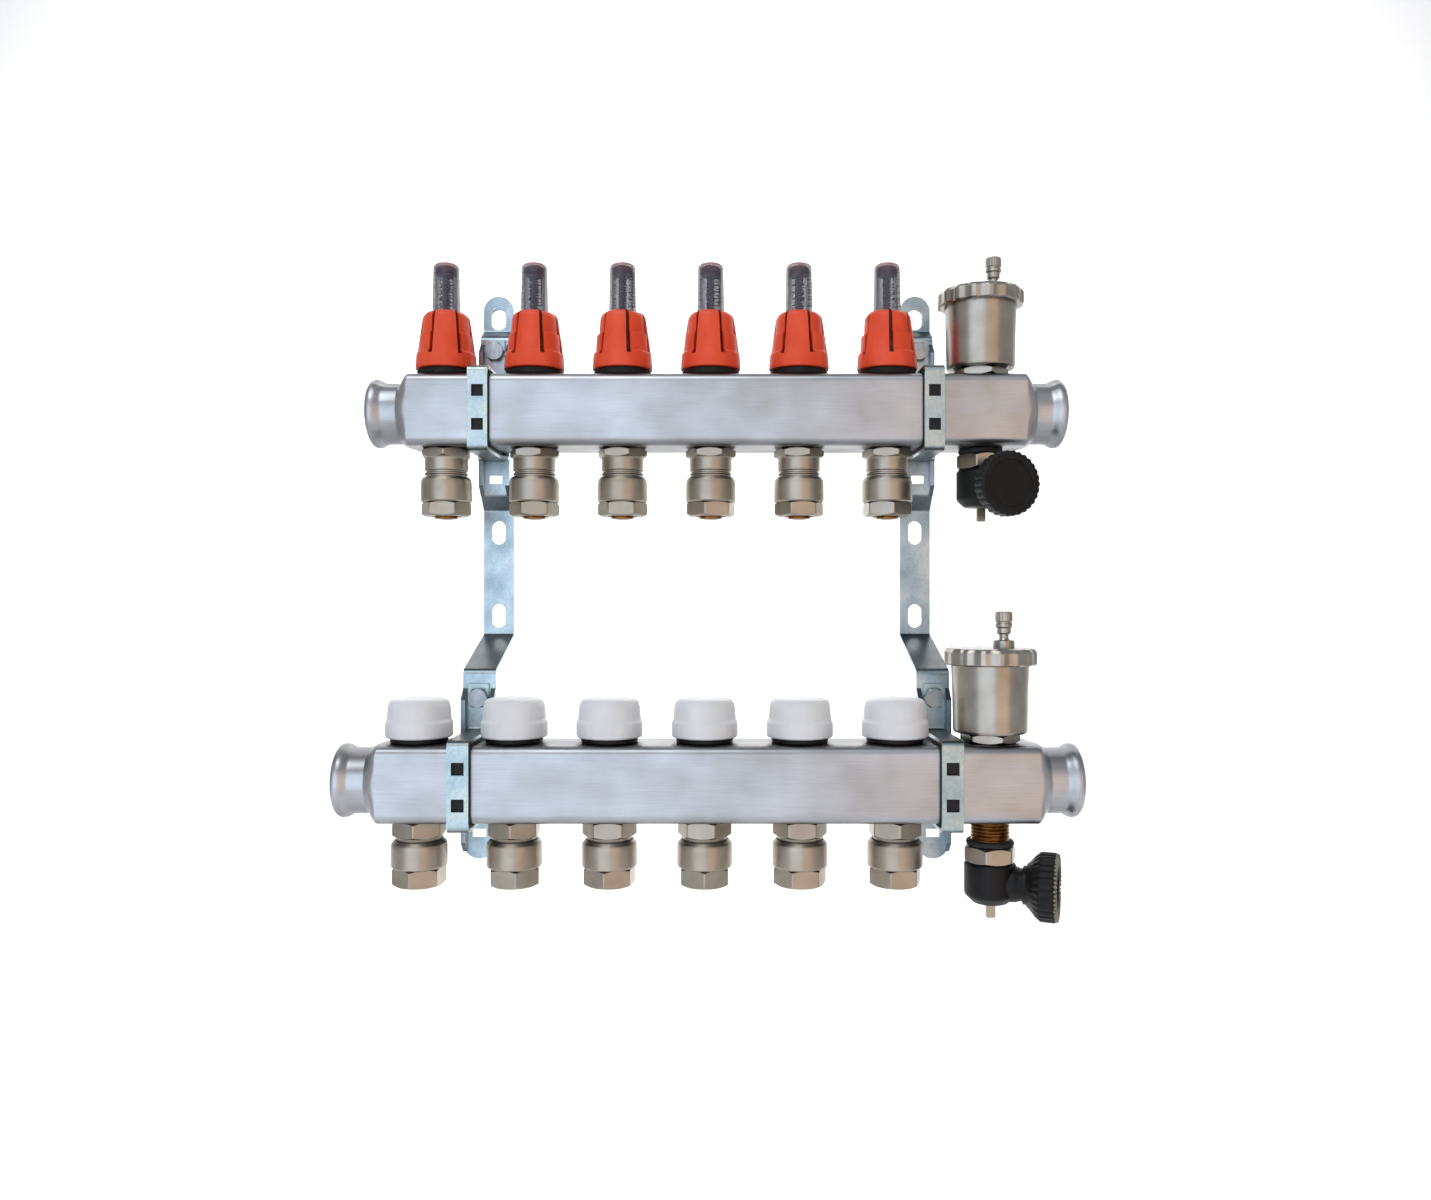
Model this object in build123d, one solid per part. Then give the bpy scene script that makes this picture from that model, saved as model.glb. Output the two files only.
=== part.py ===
from build123d import *
import os
from math import cos, radians

# Floor-heating manifold: two square stainless bars in front of each other's foot, on two
# bent strap brackets. The supply bar is the upper one and lies close to the wall; the return
# bar is the lower one and stands further out, so that pipes from above pass behind it.
# Millimetres. +X runs along the bars to the right, +Y into the wall, +Z up. The origin lies
# on the wall face, midway between the brackets and between the two bar axes.

# Layout
bar_spacing = 200.0
outlet_count = 6
outlet_pitch = 50.0
supply_first_x = -147.5
return_shift = -3.0
bracket_spacing = 250.0
end_before_first = 41.5
end_after_vent = 45.0
supply_vent_shift = 3.0

# Square bars with swaged round ends
bar_width = 40.0
bar_corner = 5.0
bar_wall = 1.5
neck_radius = 17.2
neck_length = 13.0
bead_radius = 19.4
bead_inset = 3.5
shoulder_length = 6.0
thread_clearance = 0.05

# Strap brackets
strap_width = 18.0
strap_thickness = 2.5
strap_bend = 3.0
supply_step = 8.5
return_step = 53.5
step_bend_top = 55.0
step_bend_seat = 49.5
waist_from_supply = -42.5
waist_from_wall = -51.5
waist_lower_end = -27.0
return_seat_top = -45.0
tab_above_supply = 77.0
tab_below_return = 48.0
cheek_height = 6.0
cheek_thickness = 2.5
cheek_below = 38.0
cheek_above = 46.0
waist_slot_width = 8.0
waist_slot_length = 14.0
waist_slot_pitch = 50.0
waist_slot_centre = 10.0
tab_slot_width = 8.5
tab_slot_length = 12.5
tab_slot_from_top = 14.0
window_width = 7.4
window_height = 4.8
window_below = 34.0

# Bar clamps, their liners and bolts
clamp_width = 11.0
clamp_thickness = 2.0
clamp_bend = 2.5
clamp_flange_height = 25.0
clamp_hole = 6.5
clamp_hole_pitch = 18.5
foot_width = 18.0
foot_length = 9.0
foot_taper = 6.5
tongue_width = 8.0
tongue_length = 5.5
tongue_clearance = 0.2
liner_width = 12.0
liner_thickness = 1.5
bolt_above = 41.0
bolt_radius = 3.0
bolt_hole_radius = 3.3
bolt_head_flats = 10.0
bolt_head_height = 4.0
bolt_nut_height = 4.5

# Outlet nipples, compression nuts and pipe inserts
port_radius = 11.0
nipple_bore = 7.5
nipple_seat_rise = 6.0
nipple_flats = 25.0
supply_hex_height = 5.4
supply_neck_length = 10.5
return_hex_height = 9.1
return_neck_length = 1.6
nipple_thread_radius = 12.0
nipple_thread_in_nut = 11.0
supply_nut_radius = 14.15
return_nut_radius = 14.5
nut_collar_height = 14.4
nut_flats = 24.6
supply_nut_hex_height = 7.8
return_nut_hex_height = 9.6
nut_bore = 8.2
nut_cone_height = 3.5
insert_radius = 6.2
insert_bore = 4.4
insert_head_height = 2.5
insert_stub = 1.4
hex_chamfer = 1.0

# Flow meters on the supply bar
meter_barrel_radius = 8.0
meter_barrel_bore = 6.0
meter_seat_gap = 1.0
meter_bush_length = 3.0
meter_flange_radius = 14.5
meter_flange_height = 1.0
meter_post_radius = 10.0
meter_post_height = 24.0
meter_guide_length = 6.0
running_clearance = 0.05
ring_radius = 16.1
ring_height = 4.1
ring_sleeve_wall = 2.0
ring_sleeve_height = 18.0
plain_clearance = 0.3
lock_cap_height = 33.0
lock_cap_tiers = ((17.3, 16.2, 14.0), (15.6, 14.7, 9.0), (14.2, 12.9, 10.0))
lock_cap_shoulder = 2.0
lock_cap_slots = 6
lock_cap_slot_width = 1.8
lock_cap_slot_depth = 1.6
lock_cap_slot_foot = 8.0
lock_cap_phases = (6.0, 25.0, 13.0, 28.0, 33.0, 0.0)
glass_radius = 7.8
glass_wall = 1.6
glass_above_cap = 28.0
glass_collar_radius = 9.4
glass_collar_height = 4.0
glass_dome = 2.4
indicator_rod_radius = 1.2
indicator_disc_radius = 5.9
indicator_disc_height = 4.0
indicator_headroom = 1.0
indicator_rod_below = 19.0

# Shut-off valves on the return bar
valve_barrel_radius = 9.0
valve_barrel_drop = 18.0
valve_bush_length = 3.0
valve_collar_radius = 14.9
valve_collar_height = 9.5
valve_post_radius = 10.0
valve_gland_radius = 5.0
valve_gland_height = 3.0
valve_cap_gap = 2.9
valve_cap_height = 20.5
valve_cap_radius = 17.4
valve_cap_waist_radius = 15.6
valve_cap_waist_height = 9.5
valve_cap_wall = 2.3
valve_cap_edge = 4.0
valve_pin_radius = 1.5
valve_disc_radius = 8.6
valve_disc_height = 3.0
valve_closing = 1.5
valve_seat_gap = 0.3

# Automatic air vents
vent_stem_radius = 9.0
vent_stem_drop = 7.0
vent_hex_flats = 27.0
vent_hex_height = 5.0
vent_body_foot_radius = 19.0
vent_body_radius = 19.9
vent_body_height = 42.0
vent_body_wall = 2.0
vent_floor = 3.0
vent_lid_radius = 24.0
vent_lid_height = 9.0
vent_lid_top = 2.6
vent_lid_edge = 1.5
vent_lid_flutes = 16
vent_flute_radius = 3.2
vent_flute_depth = 0.9
vent_spigot_offset = 7.3
vent_boss_radius = 5.6
vent_boss_height = 4.0
vent_stem_tip_radius = 2.5
vent_stem_tip_height = 11.0
vent_cap_radius = 4.5
vent_cap_neck_radius = 3.7
vent_cap_height = 12.0
vent_cap_gap = 3.0
vent_cap_wall = 1.8
vent_float_radius = 15.0
vent_float_height = 22.0

# Drain valves
drain_thread_radius = 10.0
drain_thread_length = 16.0
drain_seal_radius = 12.3
drain_seal_height = 3.0
drain_hex_flats = 24.4
drain_hex_height = 8.7
drain_hex_turn = 38.0
drain_bore = 4.5
drain_post_radius = 7.0
drain_post_length = 17.5
drain_body_radius = 13.4
drain_body_height = 21.0
drain_body_edge = 3.5
drain_branch_radius = 8.5
drain_branch_bore = 5.5
drain_hose_radius = 10.0
drain_hose_start = 17.0
drain_hose_end = 31.0
drain_cap_radius = 17.8
drain_cap_neck_radius = 11.6
drain_cap_start = 19.0
drain_cap_flare = 6.0
drain_cap_end = 34.0
drain_cap_recess_radius = 12.5
drain_cap_recess_depth = 1.4
drain_cap_ribs = 18
drain_rib_radius = 1.6
drain_spindle_radius = 3.0
drain_square = 5.0
drain_square_length = 8.0
drain_azimuths = (-75.0, -22.0)
return_drain_drop = 11.0

# Values worked out from the sizes above
half_bar = bar_width / 2
supply_z = bar_spacing / 2
return_z = -bar_spacing / 2
supply_front = -(strap_thickness + supply_step)
return_front = -(strap_thickness + return_step)
seat_to_axis = cheek_height + liner_thickness + half_bar
supply_y = supply_front - seat_to_axis
return_y = return_front - seat_to_axis
supply_xs = [supply_first_x + i * outlet_pitch for i in range(outlet_count)]
return_xs = [x + return_shift for x in supply_xs]
vent_xs = (supply_xs[-1] + outlet_pitch + supply_vent_shift, return_xs[-1] + outlet_pitch)
bracket_xs = (-bracket_spacing / 2, bracket_spacing / 2)
neck_bore = neck_radius - bar_wall
seats = ((supply_y, supply_z, supply_front), (return_y, return_z, return_front))
seat_z = -half_bar + nipple_seat_rise
tab_top = supply_z + tab_above_supply
tab_bottom = return_z - tab_below_return


def turned(profile):
    """Solid of revolution about Z from its (radius, height) corners."""
    return revolve(make_face(Polyline([(r, 0, z) for r, z in profile], close=True)), Axis.Z)


def cylinder(radius, low, high, x=0.0, y=0.0):
    """Upright cylinder between two heights."""
    upright = (Align.CENTER, Align.CENTER, Align.MIN)
    return Pos(x, y, low) * Cylinder(radius, high - low, align=upright)


def block(low, high):
    """Box between two corners."""
    size = [b - a for a, b in zip(low, high)]
    return Pos(*low) * Box(*size, align=(Align.MIN, Align.MIN, Align.MIN))


def hexagon(flats, low, high, turn=30.0):
    """Hexagonal prism between two heights with its six corners chamfered at both ends."""
    prism = extrude(RegularPolygon(flats / 2, 6, major_radius=False, rotation=turn), high - low)
    corner = flats / 2 / cos(radians(30)) + 0.5
    flat = flats / 2
    height = high - low
    blank = turned([
        (0, 0), (flat, 0), (corner, hex_chamfer),
        (corner, height - hex_chamfer), (flat, height), (0, height),
    ])
    return Pos(0, 0, low) * (prism & blank)


def along_y(solid, x, y, z):
    """Move a solid made along Z so that it lies along Y, its head towards the room."""
    return Pos(x, y, z) * Rot(90, 0, 0) * solid


def single(shape):
    """The one solid of a shape that must be in one piece."""
    solids = shape.solids()
    if len(solids) != 1:
        raise ValueError("a piece that should be one solid has come apart")
    return solids[0]


def swaged_blank(half, radius, start, flat, extra):
    """Turned blank whose shoulders bring a square bar down to a round neck at both ends."""
    foot = -half + neck_length
    reach = half_bar * 1.5
    rise = flat - radius
    crest = foot + shoulder_length + extra
    top = foot + 2 * shoulder_length
    outline = [
        Line((-half + start, 0), (-half + start, radius)),
        Line((-half + start, radius), (foot, radius)),
        ThreePointArc((foot, radius), (foot + shoulder_length * 0.6, radius + rise * 0.42), (crest, flat)),
        Polyline((crest, flat), (top, reach), (0, reach), (0, 0), (-half + start, 0)),
    ]
    blank = revolve(make_face(outline), Axis.X)
    return blank + mirror(blank, Plane.YZ)


def rolled_bead(half):
    """Bead at the left end of a bar, from its lip round to the neck."""
    lip = -half
    crest = lip + bead_inset
    foot = lip + neck_length * 0.85
    outline = [
        Line((lip, neck_bore), (lip, neck_radius - 0.4)),
        ThreePointArc((lip, neck_radius - 0.4), (lip + bead_inset * 0.33, bead_radius - 0.6),
                      (crest, bead_radius)),
        ThreePointArc((crest, bead_radius), (crest + bead_inset, neck_radius + 0.9), (foot, neck_radius)),
        Polyline((foot, neck_radius), (foot, neck_bore), (lip, neck_bore)),
    ]
    return revolve(make_face(outline), Axis.X)


def square_bar(length):
    """Bar along X, centred: square tube swaged at both ends to a round neck with a rolled bead."""
    half = length / 2
    inner_width = bar_width - 2 * bar_wall

    def prism(width, corner):
        place = Plane((-half, 0, 0), x_dir=(0, 1, 0), z_dir=(1, 0, 0))
        return extrude(place * RectangleRounded(width, width, corner), length)

    outside = prism(bar_width, bar_corner) & swaged_blank(half, neck_radius, 0, half_bar + 0.6, 0)
    bead = rolled_bead(half)
    outside = outside + bead + mirror(bead, Plane.YZ)
    inside = prism(inner_width, bar_corner - bar_wall)
    inside = inside & swaged_blank(half, neck_bore, -1.0, inner_width / 2 + 0.4, 1.0)
    bore = Rot(0, 90, 0) * Cylinder(neck_bore, length + 2)
    return outside - inside - bore


def bar(xs, vent_x, y, z):
    """One bar in its place, with its row of holes above and below."""
    left = xs[0] - end_before_first
    right = vent_x + end_after_vent
    tube = Pos((left + right) / 2, y, z) * square_bar(right - left)
    hole = port_radius + thread_clearance
    for x in xs:
        tube -= cylinder(hole, z - bar_width, z + bar_width, x, y)
    tube -= cylinder(vent_stem_radius + thread_clearance, z, z + bar_width, vent_x, y)
    tube -= cylinder(drain_thread_radius + thread_clearance, z - bar_width, z, vent_x, y)
    return single(tube)


def bracket(x):
    """Strap bent back and forth between the wall and the seats of the two bars."""
    middle = strap_thickness / 2
    wall = -middle
    supply_mid = supply_front + middle
    return_mid = return_front + middle
    spine = FilletPolyline(
        (x, wall, tab_top),
        (x, wall, supply_z + step_bend_top),
        (x, supply_mid, supply_z + step_bend_seat),
        (x, supply_mid, supply_z + waist_from_supply),
        (x, wall, supply_z + waist_from_wall),
        (x, wall, waist_lower_end),
        (x, return_mid, return_seat_top),
        (x, return_mid, tab_bottom),
        radius=strap_bend,
    )
    start = Plane((x, wall, tab_top), x_dir=(1, 0, 0), z_dir=(0, 0, -1))
    strap = sweep(start * Rectangle(strap_width, strap_thickness), path=spine)
    outline = Plane((x, 0, (tab_top + tab_bottom) / 2), x_dir=(0, 0, 1), z_dir=(0, -1, 0))
    ends = extrude(outline * SlotOverall(tab_top - tab_bottom, strap_width), -return_front * 2, both=True)
    strap = strap & ends
    for axis_z, front in ((supply_z, supply_front), (return_z, return_front)):
        low = axis_z - cheek_below
        high = axis_z + cheek_above
        cheek = make_face(Polyline([
            (0, front + middle, low - cheek_height), (0, front, low - cheek_height),
            (0, front - cheek_height, low), (0, front - cheek_height, high - cheek_height),
            (0, front, high), (0, front + middle, high),
        ], close=True))
        edge = (strap_width - cheek_thickness) / 2
        for side in (-1, 1):
            wing = extrude(cheek, cheek_thickness / 2, dir=(1, 0, 0), both=True)
            strap += Pos(x + side * edge, 0, 0) * wing
    return single(strap - bracket_cuts(x))


def upright_slot(x, z, width, length):
    """Cutter for an upright slot through a strap near the wall."""
    face = Plane((x, 0, z), x_dir=(0, 0, 1), z_dir=(0, -1, 0)) * SlotOverall(length, width)
    return extrude(face, strap_thickness * 2, both=True)


def bracket_cuts(x):
    """Fixing slots, the windows and hook slots under the bars, and the clamp bolt holes."""
    cuts = [upright_slot(x, tab_top - tab_slot_from_top, tab_slot_width, tab_slot_length)]
    for side in (-1, 1):
        slot_z = waist_slot_centre + side * waist_slot_pitch / 2
        cuts.append(upright_slot(x, slot_z, waist_slot_width, waist_slot_length))
    for axis_y, axis_z, front in seats:
        back = front + strap_thickness * 1.5
        near = front - strap_thickness * 0.5
        half = window_width / 2
        low = axis_z - window_below - window_height / 2
        cuts.append(block((x - half, near, low), (x + half, back, low + window_height)))
        half = tongue_width / 2 + tongue_clearance
        high = axis_z - half_bar - liner_thickness + tongue_clearance
        low = high - clamp_thickness - 2 * tongue_clearance
        cuts.append(block((x - half, near, low), (x + half, back, high)))
        cuts.append(along_y(Cylinder(bolt_hole_radius, strap_thickness * 2), x, front, axis_z + bolt_above))
    return Part() + cuts


def clamp(x, axis_y, axis_z, front):
    """Strip over the bar: bolted flange, top arm, front, bottom arm with a flared foot and a tongue."""
    middle = clamp_thickness / 2
    reach = half_bar + liner_thickness + middle
    flange_y = front - middle
    face_y = axis_y - reach
    flange_top = axis_z + reach + middle + clamp_flange_height
    spine = FilletPolyline(
        (x, flange_y, flange_top),
        (x, flange_y, axis_z + reach),
        (x, face_y, axis_z + reach),
        (x, face_y, axis_z - reach),
        (x, front, axis_z - reach),
        radius=clamp_bend,
    )
    start = Plane((x, flange_y, flange_top), x_dir=(1, 0, 0), z_dir=(0, 0, -1))
    strip = sweep(start * Rectangle(clamp_width, clamp_thickness), path=spine)
    low = axis_z - reach - middle
    edge = front - cheek_height
    half = clamp_width / 2
    wide = foot_width / 2
    foot = make_face(Polyline([
        (x - half, edge - foot_length, low), (x - wide, edge - foot_length + foot_taper, low),
        (x - wide, edge, low), (x + wide, edge, low),
        (x + wide, edge - foot_length + foot_taper, low), (x + half, edge - foot_length, low),
    ], close=True))
    strip += extrude(foot, clamp_thickness, dir=(0, 0, 1))
    tongue = tongue_width / 2
    strip += block((x - tongue, front - 1, low), (x + tongue, front + tongue_length, low + clamp_thickness))
    for side in (-1, 1):
        z = axis_z + side * clamp_hole_pitch / 2
        half = clamp_hole / 2
        low_corner = (x - half, face_y - clamp_thickness, z - half)
        strip -= block(low_corner, (x + half, face_y + clamp_thickness, z + half))
    strip -= along_y(Cylinder(bolt_hole_radius, clamp_thickness * 2), x, flange_y, axis_z + bolt_above)
    return single(strip)


def liner(x, axis_y, axis_z):
    """Rubber band round the bar under its clamp."""
    outer = bar_width + 2 * liner_thickness
    inner = bar_width + 2 * thread_clearance
    section = RectangleRounded(outer, outer, bar_corner + liner_thickness)
    section -= RectangleRounded(inner, inner, bar_corner + thread_clearance)
    place = Plane((x, axis_y, axis_z), x_dir=(0, 1, 0), z_dir=(1, 0, 0))
    return single(extrude(place * section, liner_width / 2, both=True))


def clamp_bolt(x, front, z):
    """Hexagon bolt through the clamp flange and the strap."""
    grip = clamp_thickness + strap_thickness
    bolt = hexagon(bolt_head_flats, 0, bolt_head_height, turn=0)
    bolt += cylinder(bolt_radius, -grip - bolt_nut_height, 0.5)
    return along_y(single(bolt), x, front - clamp_thickness, z)


def clamp_nut(x, front, z):
    """Nut of a clamp bolt, behind the strap."""
    nut = hexagon(bolt_head_flats, -bolt_nut_height, 0, turn=0)
    nut -= cylinder(bolt_radius + thread_clearance, -bolt_nut_height - 1, 1)
    return along_y(single(nut), x, front + strap_thickness, z)


def nipple(hex_height, neck_length_seen):
    """Outlet nipple from the bar axis down: seat inside the bar, hexagon, threaded neck."""
    hex_top = -half_bar
    hex_low = hex_top - hex_height
    end = hex_low - neck_length_seen - nipple_thread_in_nut
    shape = cylinder(port_radius, hex_top - 0.5, seat_z)
    shape += hexagon(nipple_flats, hex_low, hex_top)
    shape += cylinder(nipple_thread_radius, end, hex_low + 0.5)
    bore = turned([
        (0, seat_z + 1), (nipple_bore, seat_z + 1), (nipple_bore, end + 3), (nipple_bore + 3, end),
        (nipple_bore + 3, end - 1), (0, end - 1),
    ])
    return single(shape - bore)


def nut(top, radius, hex_height):
    """Compression nut: plain collar over the thread, hexagon below, pipe bore through."""
    low = top - nut_collar_height
    end = low - hex_height
    edge = 0.8
    shape = turned([
        (0, low), (radius - edge, low), (radius, low + edge),
        (radius, top - edge), (radius - edge, top), (0, top),
    ])
    shape += hexagon(nut_flats, end, low + edge)
    inner = nipple_thread_radius + thread_clearance
    cone = top - nipple_thread_in_nut - insert_head_height
    bore = turned([
        (0, top + 1), (inner, top + 1), (inner, cone), (nut_bore, cone - nut_cone_height),
        (nut_bore, end - 1), (0, end - 1),
    ])
    return single(shape - bore)


def pipe_insert(top, hex_height):
    """Brass insert held between nipple and nut, its tail just out of the nut."""
    head = top - nipple_thread_in_nut
    end = top - nut_collar_height - hex_height - insert_stub
    wide = nipple_thread_radius - 1.0
    return single(turned([
        (insert_bore, head), (wide, head), (wide, head - insert_head_height),
        (insert_radius, head - insert_head_height), (insert_radius, end), (insert_bore, end),
    ]))


def meter_body():
    """Meter insert: barrel down to the outlet seat, bush in the bar, post for the cap and glass."""
    low = seat_z + meter_seat_gap
    flange = half_bar + meter_flange_height
    top = half_bar + meter_post_height
    guide = indicator_rod_radius + running_clearance
    return single(turned([
        (meter_barrel_bore, low), (meter_barrel_radius, low),
        (meter_barrel_radius, half_bar - meter_bush_length), (port_radius, half_bar - meter_bush_length),
        (port_radius, half_bar), (meter_flange_radius, half_bar), (meter_flange_radius, flange),
        (meter_post_radius, flange), (meter_post_radius, top), (guide, top),
        (guide, top - meter_guide_length), (meter_barrel_bore, top - meter_guide_length),
    ]))


def setting_ring():
    """Black setting ring round the foot of a meter, with a sleeve up inside the lock cap."""
    low = half_bar + plain_clearance
    under = half_bar + meter_flange_height + plain_clearance
    top = half_bar + ring_height
    inner = meter_post_radius + plain_clearance
    skirt = meter_flange_radius + plain_clearance
    sleeve = inner + ring_sleeve_wall
    return single(turned([
        (inner, under), (skirt, under), (skirt, low), (ring_radius, low), (ring_radius, top),
        (sleeve, top), (sleeve, half_bar + ring_sleeve_height), (inner, half_bar + ring_sleeve_height),
    ]))


def lock_cap(phase):
    """Stepped conical cap with narrow upright slots and a hollow for the sleeve and the glass foot."""
    low = half_bar + ring_height + plain_clearance
    top = half_bar + ring_height + lock_cap_height
    outline = [(0, low)]
    z = low
    for index, (foot, head, height) in enumerate(lock_cap_tiers):
        outline.append((foot, z))
        z = top if index == len(lock_cap_tiers) - 1 else z + height
        if index < len(lock_cap_tiers) - 1:
            outline.append((head, z))
        else:
            outline.append((head, top - lock_cap_shoulder))
            outline.append((head - lock_cap_shoulder, top))
    outline.append((0, top))
    shape = turned(outline)
    sleeve = meter_post_radius + 2 * plain_clearance + ring_sleeve_wall
    post = meter_post_radius + plain_clearance
    step = half_bar + ring_sleeve_height + 1.0
    ceiling = half_bar + meter_post_height + glass_collar_height + 1.0
    throat = glass_radius + plain_clearance
    shape -= turned([
        (0, low - 1), (sleeve, low - 1), (sleeve, step), (post, step + 1.5),
        (post, ceiling), (throat, ceiling + 1.5), (throat, top + 1), (0, top + 1),
    ])
    for count in range(lock_cap_slots):
        angle = phase + count * 360 / lock_cap_slots - 90
        foot, head, height = lock_cap_tiers[-1]
        lean = (lock_cap_tiers[0][0] - head) / lock_cap_height
        far = lock_cap_tiers[0][0] + 1
        deep = head - lock_cap_slot_depth
        section = make_face(Polyline([
            (far, 0, top + 1), (deep, 0, top + 1),
            (deep + lean * (lock_cap_height - lock_cap_slot_foot), 0, low + lock_cap_slot_foot),
            (far, 0, low + lock_cap_slot_foot),
        ], close=True))
        shape -= Rot(0, 0, angle) * extrude(section, lock_cap_slot_width / 2, dir=(0, 1, 0), both=True)
    return single(shape)


def sight_glass():
    """Clear tube with a domed top and a collar at its foot."""
    low = half_bar + meter_post_height
    top = half_bar + ring_height + lock_cap_height + glass_above_cap
    bore = glass_radius - glass_wall
    return single(turned([
        (bore, low), (glass_collar_radius, low), (glass_collar_radius, low + glass_collar_height),
        (glass_radius, low + glass_collar_height), (glass_radius, top - glass_dome),
        (glass_radius - 0.9, top - glass_dome * 0.35), (glass_radius - glass_dome, top), (0, top),
        (0, top - glass_wall), (bore, top - glass_wall),
    ]))


def flow_indicator():
    """Float disc on a thin rod: at rest near the top of the glass, pulled down by the flow."""
    top = half_bar + ring_height + lock_cap_height + glass_above_cap - glass_wall - indicator_headroom
    disc = top - indicator_disc_height
    low = half_bar + meter_post_height - indicator_rod_below
    return single(turned([
        (0, low), (indicator_rod_radius, low), (indicator_rod_radius, disc),
        (indicator_disc_radius, disc), (indicator_disc_radius, top - 1),
        (indicator_disc_radius - 1, top), (0, top),
    ]))


def valve_body():
    """Valve insert screwed into the return bar: barrel inside, post and gland above."""
    low = half_bar - valve_barrel_drop
    post = half_bar + valve_collar_height
    pin = valve_pin_radius + running_clearance
    return single(turned([
        (pin, low), (valve_barrel_radius, low), (valve_barrel_radius, half_bar - valve_bush_length),
        (port_radius, half_bar - valve_bush_length), (port_radius, half_bar), (valve_post_radius, half_bar),
        (valve_post_radius, post), (valve_gland_radius, post),
        (valve_gland_radius, post + valve_gland_height), (pin, post + valve_gland_height),
    ]))


def valve_collar():
    """Black threaded collar round the valve post, which the hand cap screws on to."""
    post = valve_post_radius + thread_clearance
    high = half_bar + valve_collar_height
    edge = 0.8
    return single(turned([
        (post, half_bar), (valve_collar_radius, half_bar), (valve_collar_radius, high - edge),
        (valve_collar_radius - edge, high), (post, high),
    ]))


def valve_pin():
    """Sprung pin with its closing disc, pressed down by the hand cap."""
    foot = seat_z + valve_closing + valve_seat_gap
    top = half_bar + valve_cap_gap + valve_cap_height - valve_cap_wall - plain_clearance
    return single(turned([
        (0, foot), (valve_disc_radius, foot), (valve_disc_radius, foot + valve_disc_height),
        (valve_pin_radius, foot + valve_disc_height), (valve_pin_radius, top), (0, top),
    ]))


def valve_cap():
    """White hand cap: wide grip band, narrower crown with a rounded edge, hollow below."""
    low = half_bar + valve_cap_gap
    top = low + valve_cap_height
    waist = low + valve_cap_waist_height
    bore = valve_collar_radius + plain_clearance
    crown = valve_cap_waist_radius
    outline = Polyline((0, 0, low), (valve_cap_radius - 0.8, 0, low), (valve_cap_radius, 0, low + 0.8),
                       (valve_cap_radius, 0, waist - 2))
    ease = ThreePointArc((valve_cap_radius, 0, waist - 2), (valve_cap_radius - 0.5, 0, waist - 0.6),
                         (crown, 0, waist))
    wall = Line((crown, 0, waist), (crown - 0.4, 0, top - valve_cap_edge))
    round_edge = ThreePointArc((crown - 0.4, 0, top - valve_cap_edge), (crown - 1.5, 0, top - 1.2),
                               (crown - valve_cap_edge, 0, top))
    close_top = Polyline((crown - valve_cap_edge, 0, top), (0, 0, top), (0, 0, low))
    shape = revolve(make_face([outline, ease, wall, round_edge, close_top]), Axis.Z)
    step = half_bar + valve_collar_height + valve_closing + 0.5
    narrow = crown - valve_cap_edge
    shape -= turned([
        (0, low - 1), (bore, low - 1), (bore, step), (narrow, step + 2), (narrow, top - valve_cap_wall),
        (0, top - valve_cap_wall),
    ])
    return single(shape)


def vent_body():
    """Float chamber: threaded stem, hexagon and open cup."""
    hex_top = half_bar + vent_hex_height
    top = hex_top + vent_body_height
    shape = cylinder(vent_stem_radius, half_bar - vent_stem_drop, half_bar + 0.5)
    shape += hexagon(vent_hex_flats, half_bar, hex_top + 0.5, turn=10)
    shape += turned([
        (0, hex_top), (vent_body_foot_radius - 1, hex_top), (vent_body_foot_radius, hex_top + 1),
        (vent_body_radius, top - vent_lid_height), (vent_body_radius, top), (0, top),
    ])
    cup = vent_body_foot_radius - vent_body_wall
    shape -= turned([
        (0, hex_top + vent_floor), (cup, hex_top + vent_floor), (cup, top + 1), (0, top + 1),
    ])
    shape -= cylinder(drain_bore, half_bar - vent_stem_drop - 1, hex_top + vent_floor + 1)
    return single(shape)


def vent_lid():
    """Fluted screw lid over the cup, with the off-centre air spigot."""
    cup_top = half_bar + vent_hex_height + vent_body_height
    low = cup_top + vent_lid_top - vent_lid_height
    top = cup_top + vent_lid_top
    edge = vent_lid_edge
    shape = turned([
        (0, low), (vent_lid_radius - edge / 2, low), (vent_lid_radius, low + edge / 2),
        (vent_lid_radius, top - edge), (vent_lid_radius - edge, top), (0, top),
    ])
    shape -= turned([
        (0, low - 1), (vent_body_radius + thread_clearance, low - 1),
        (vent_body_radius + thread_clearance, cup_top), (0, cup_top),
    ])
    reach = vent_lid_radius + vent_flute_radius - vent_flute_depth
    for count in range(vent_lid_flutes):
        turn = Rot(0, 0, count * 360 / vent_lid_flutes)
        shape -= turn * cylinder(vent_flute_radius, low - 1, top + 1, reach)
    shape += cylinder(vent_boss_radius, top - 0.5, top + vent_boss_height, vent_spigot_offset)
    tip = top + vent_boss_height + vent_stem_tip_height
    shape += cylinder(vent_stem_tip_radius, top, tip, vent_spigot_offset)
    return single(shape)


def vent_cap():
    """Small screw cap over the air spigot: wide head, groove, narrower neck."""
    lid_top = half_bar + vent_hex_height + vent_body_height + vent_lid_top
    low = lid_top + vent_boss_height + vent_cap_gap
    top = low + vent_cap_height
    bore = vent_stem_tip_radius + 2 * running_clearance
    ceiling = top - vent_cap_wall
    neck = low + vent_cap_height * 0.3
    r = vent_cap_radius
    shape = turned([
        (bore, low), (vent_cap_neck_radius, low), (vent_cap_neck_radius, neck), (r, neck + 0.8),
        (r, neck + 2.2), (r - 0.4, neck + 2.6), (r - 0.4, neck + 3.2), (r, neck + 3.6),
        (r, top - 0.8), (r - 0.8, top), (0, top), (0, ceiling), (bore, ceiling),
    ])
    return Pos(vent_spigot_offset, 0, 0) * single(shape)


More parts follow.
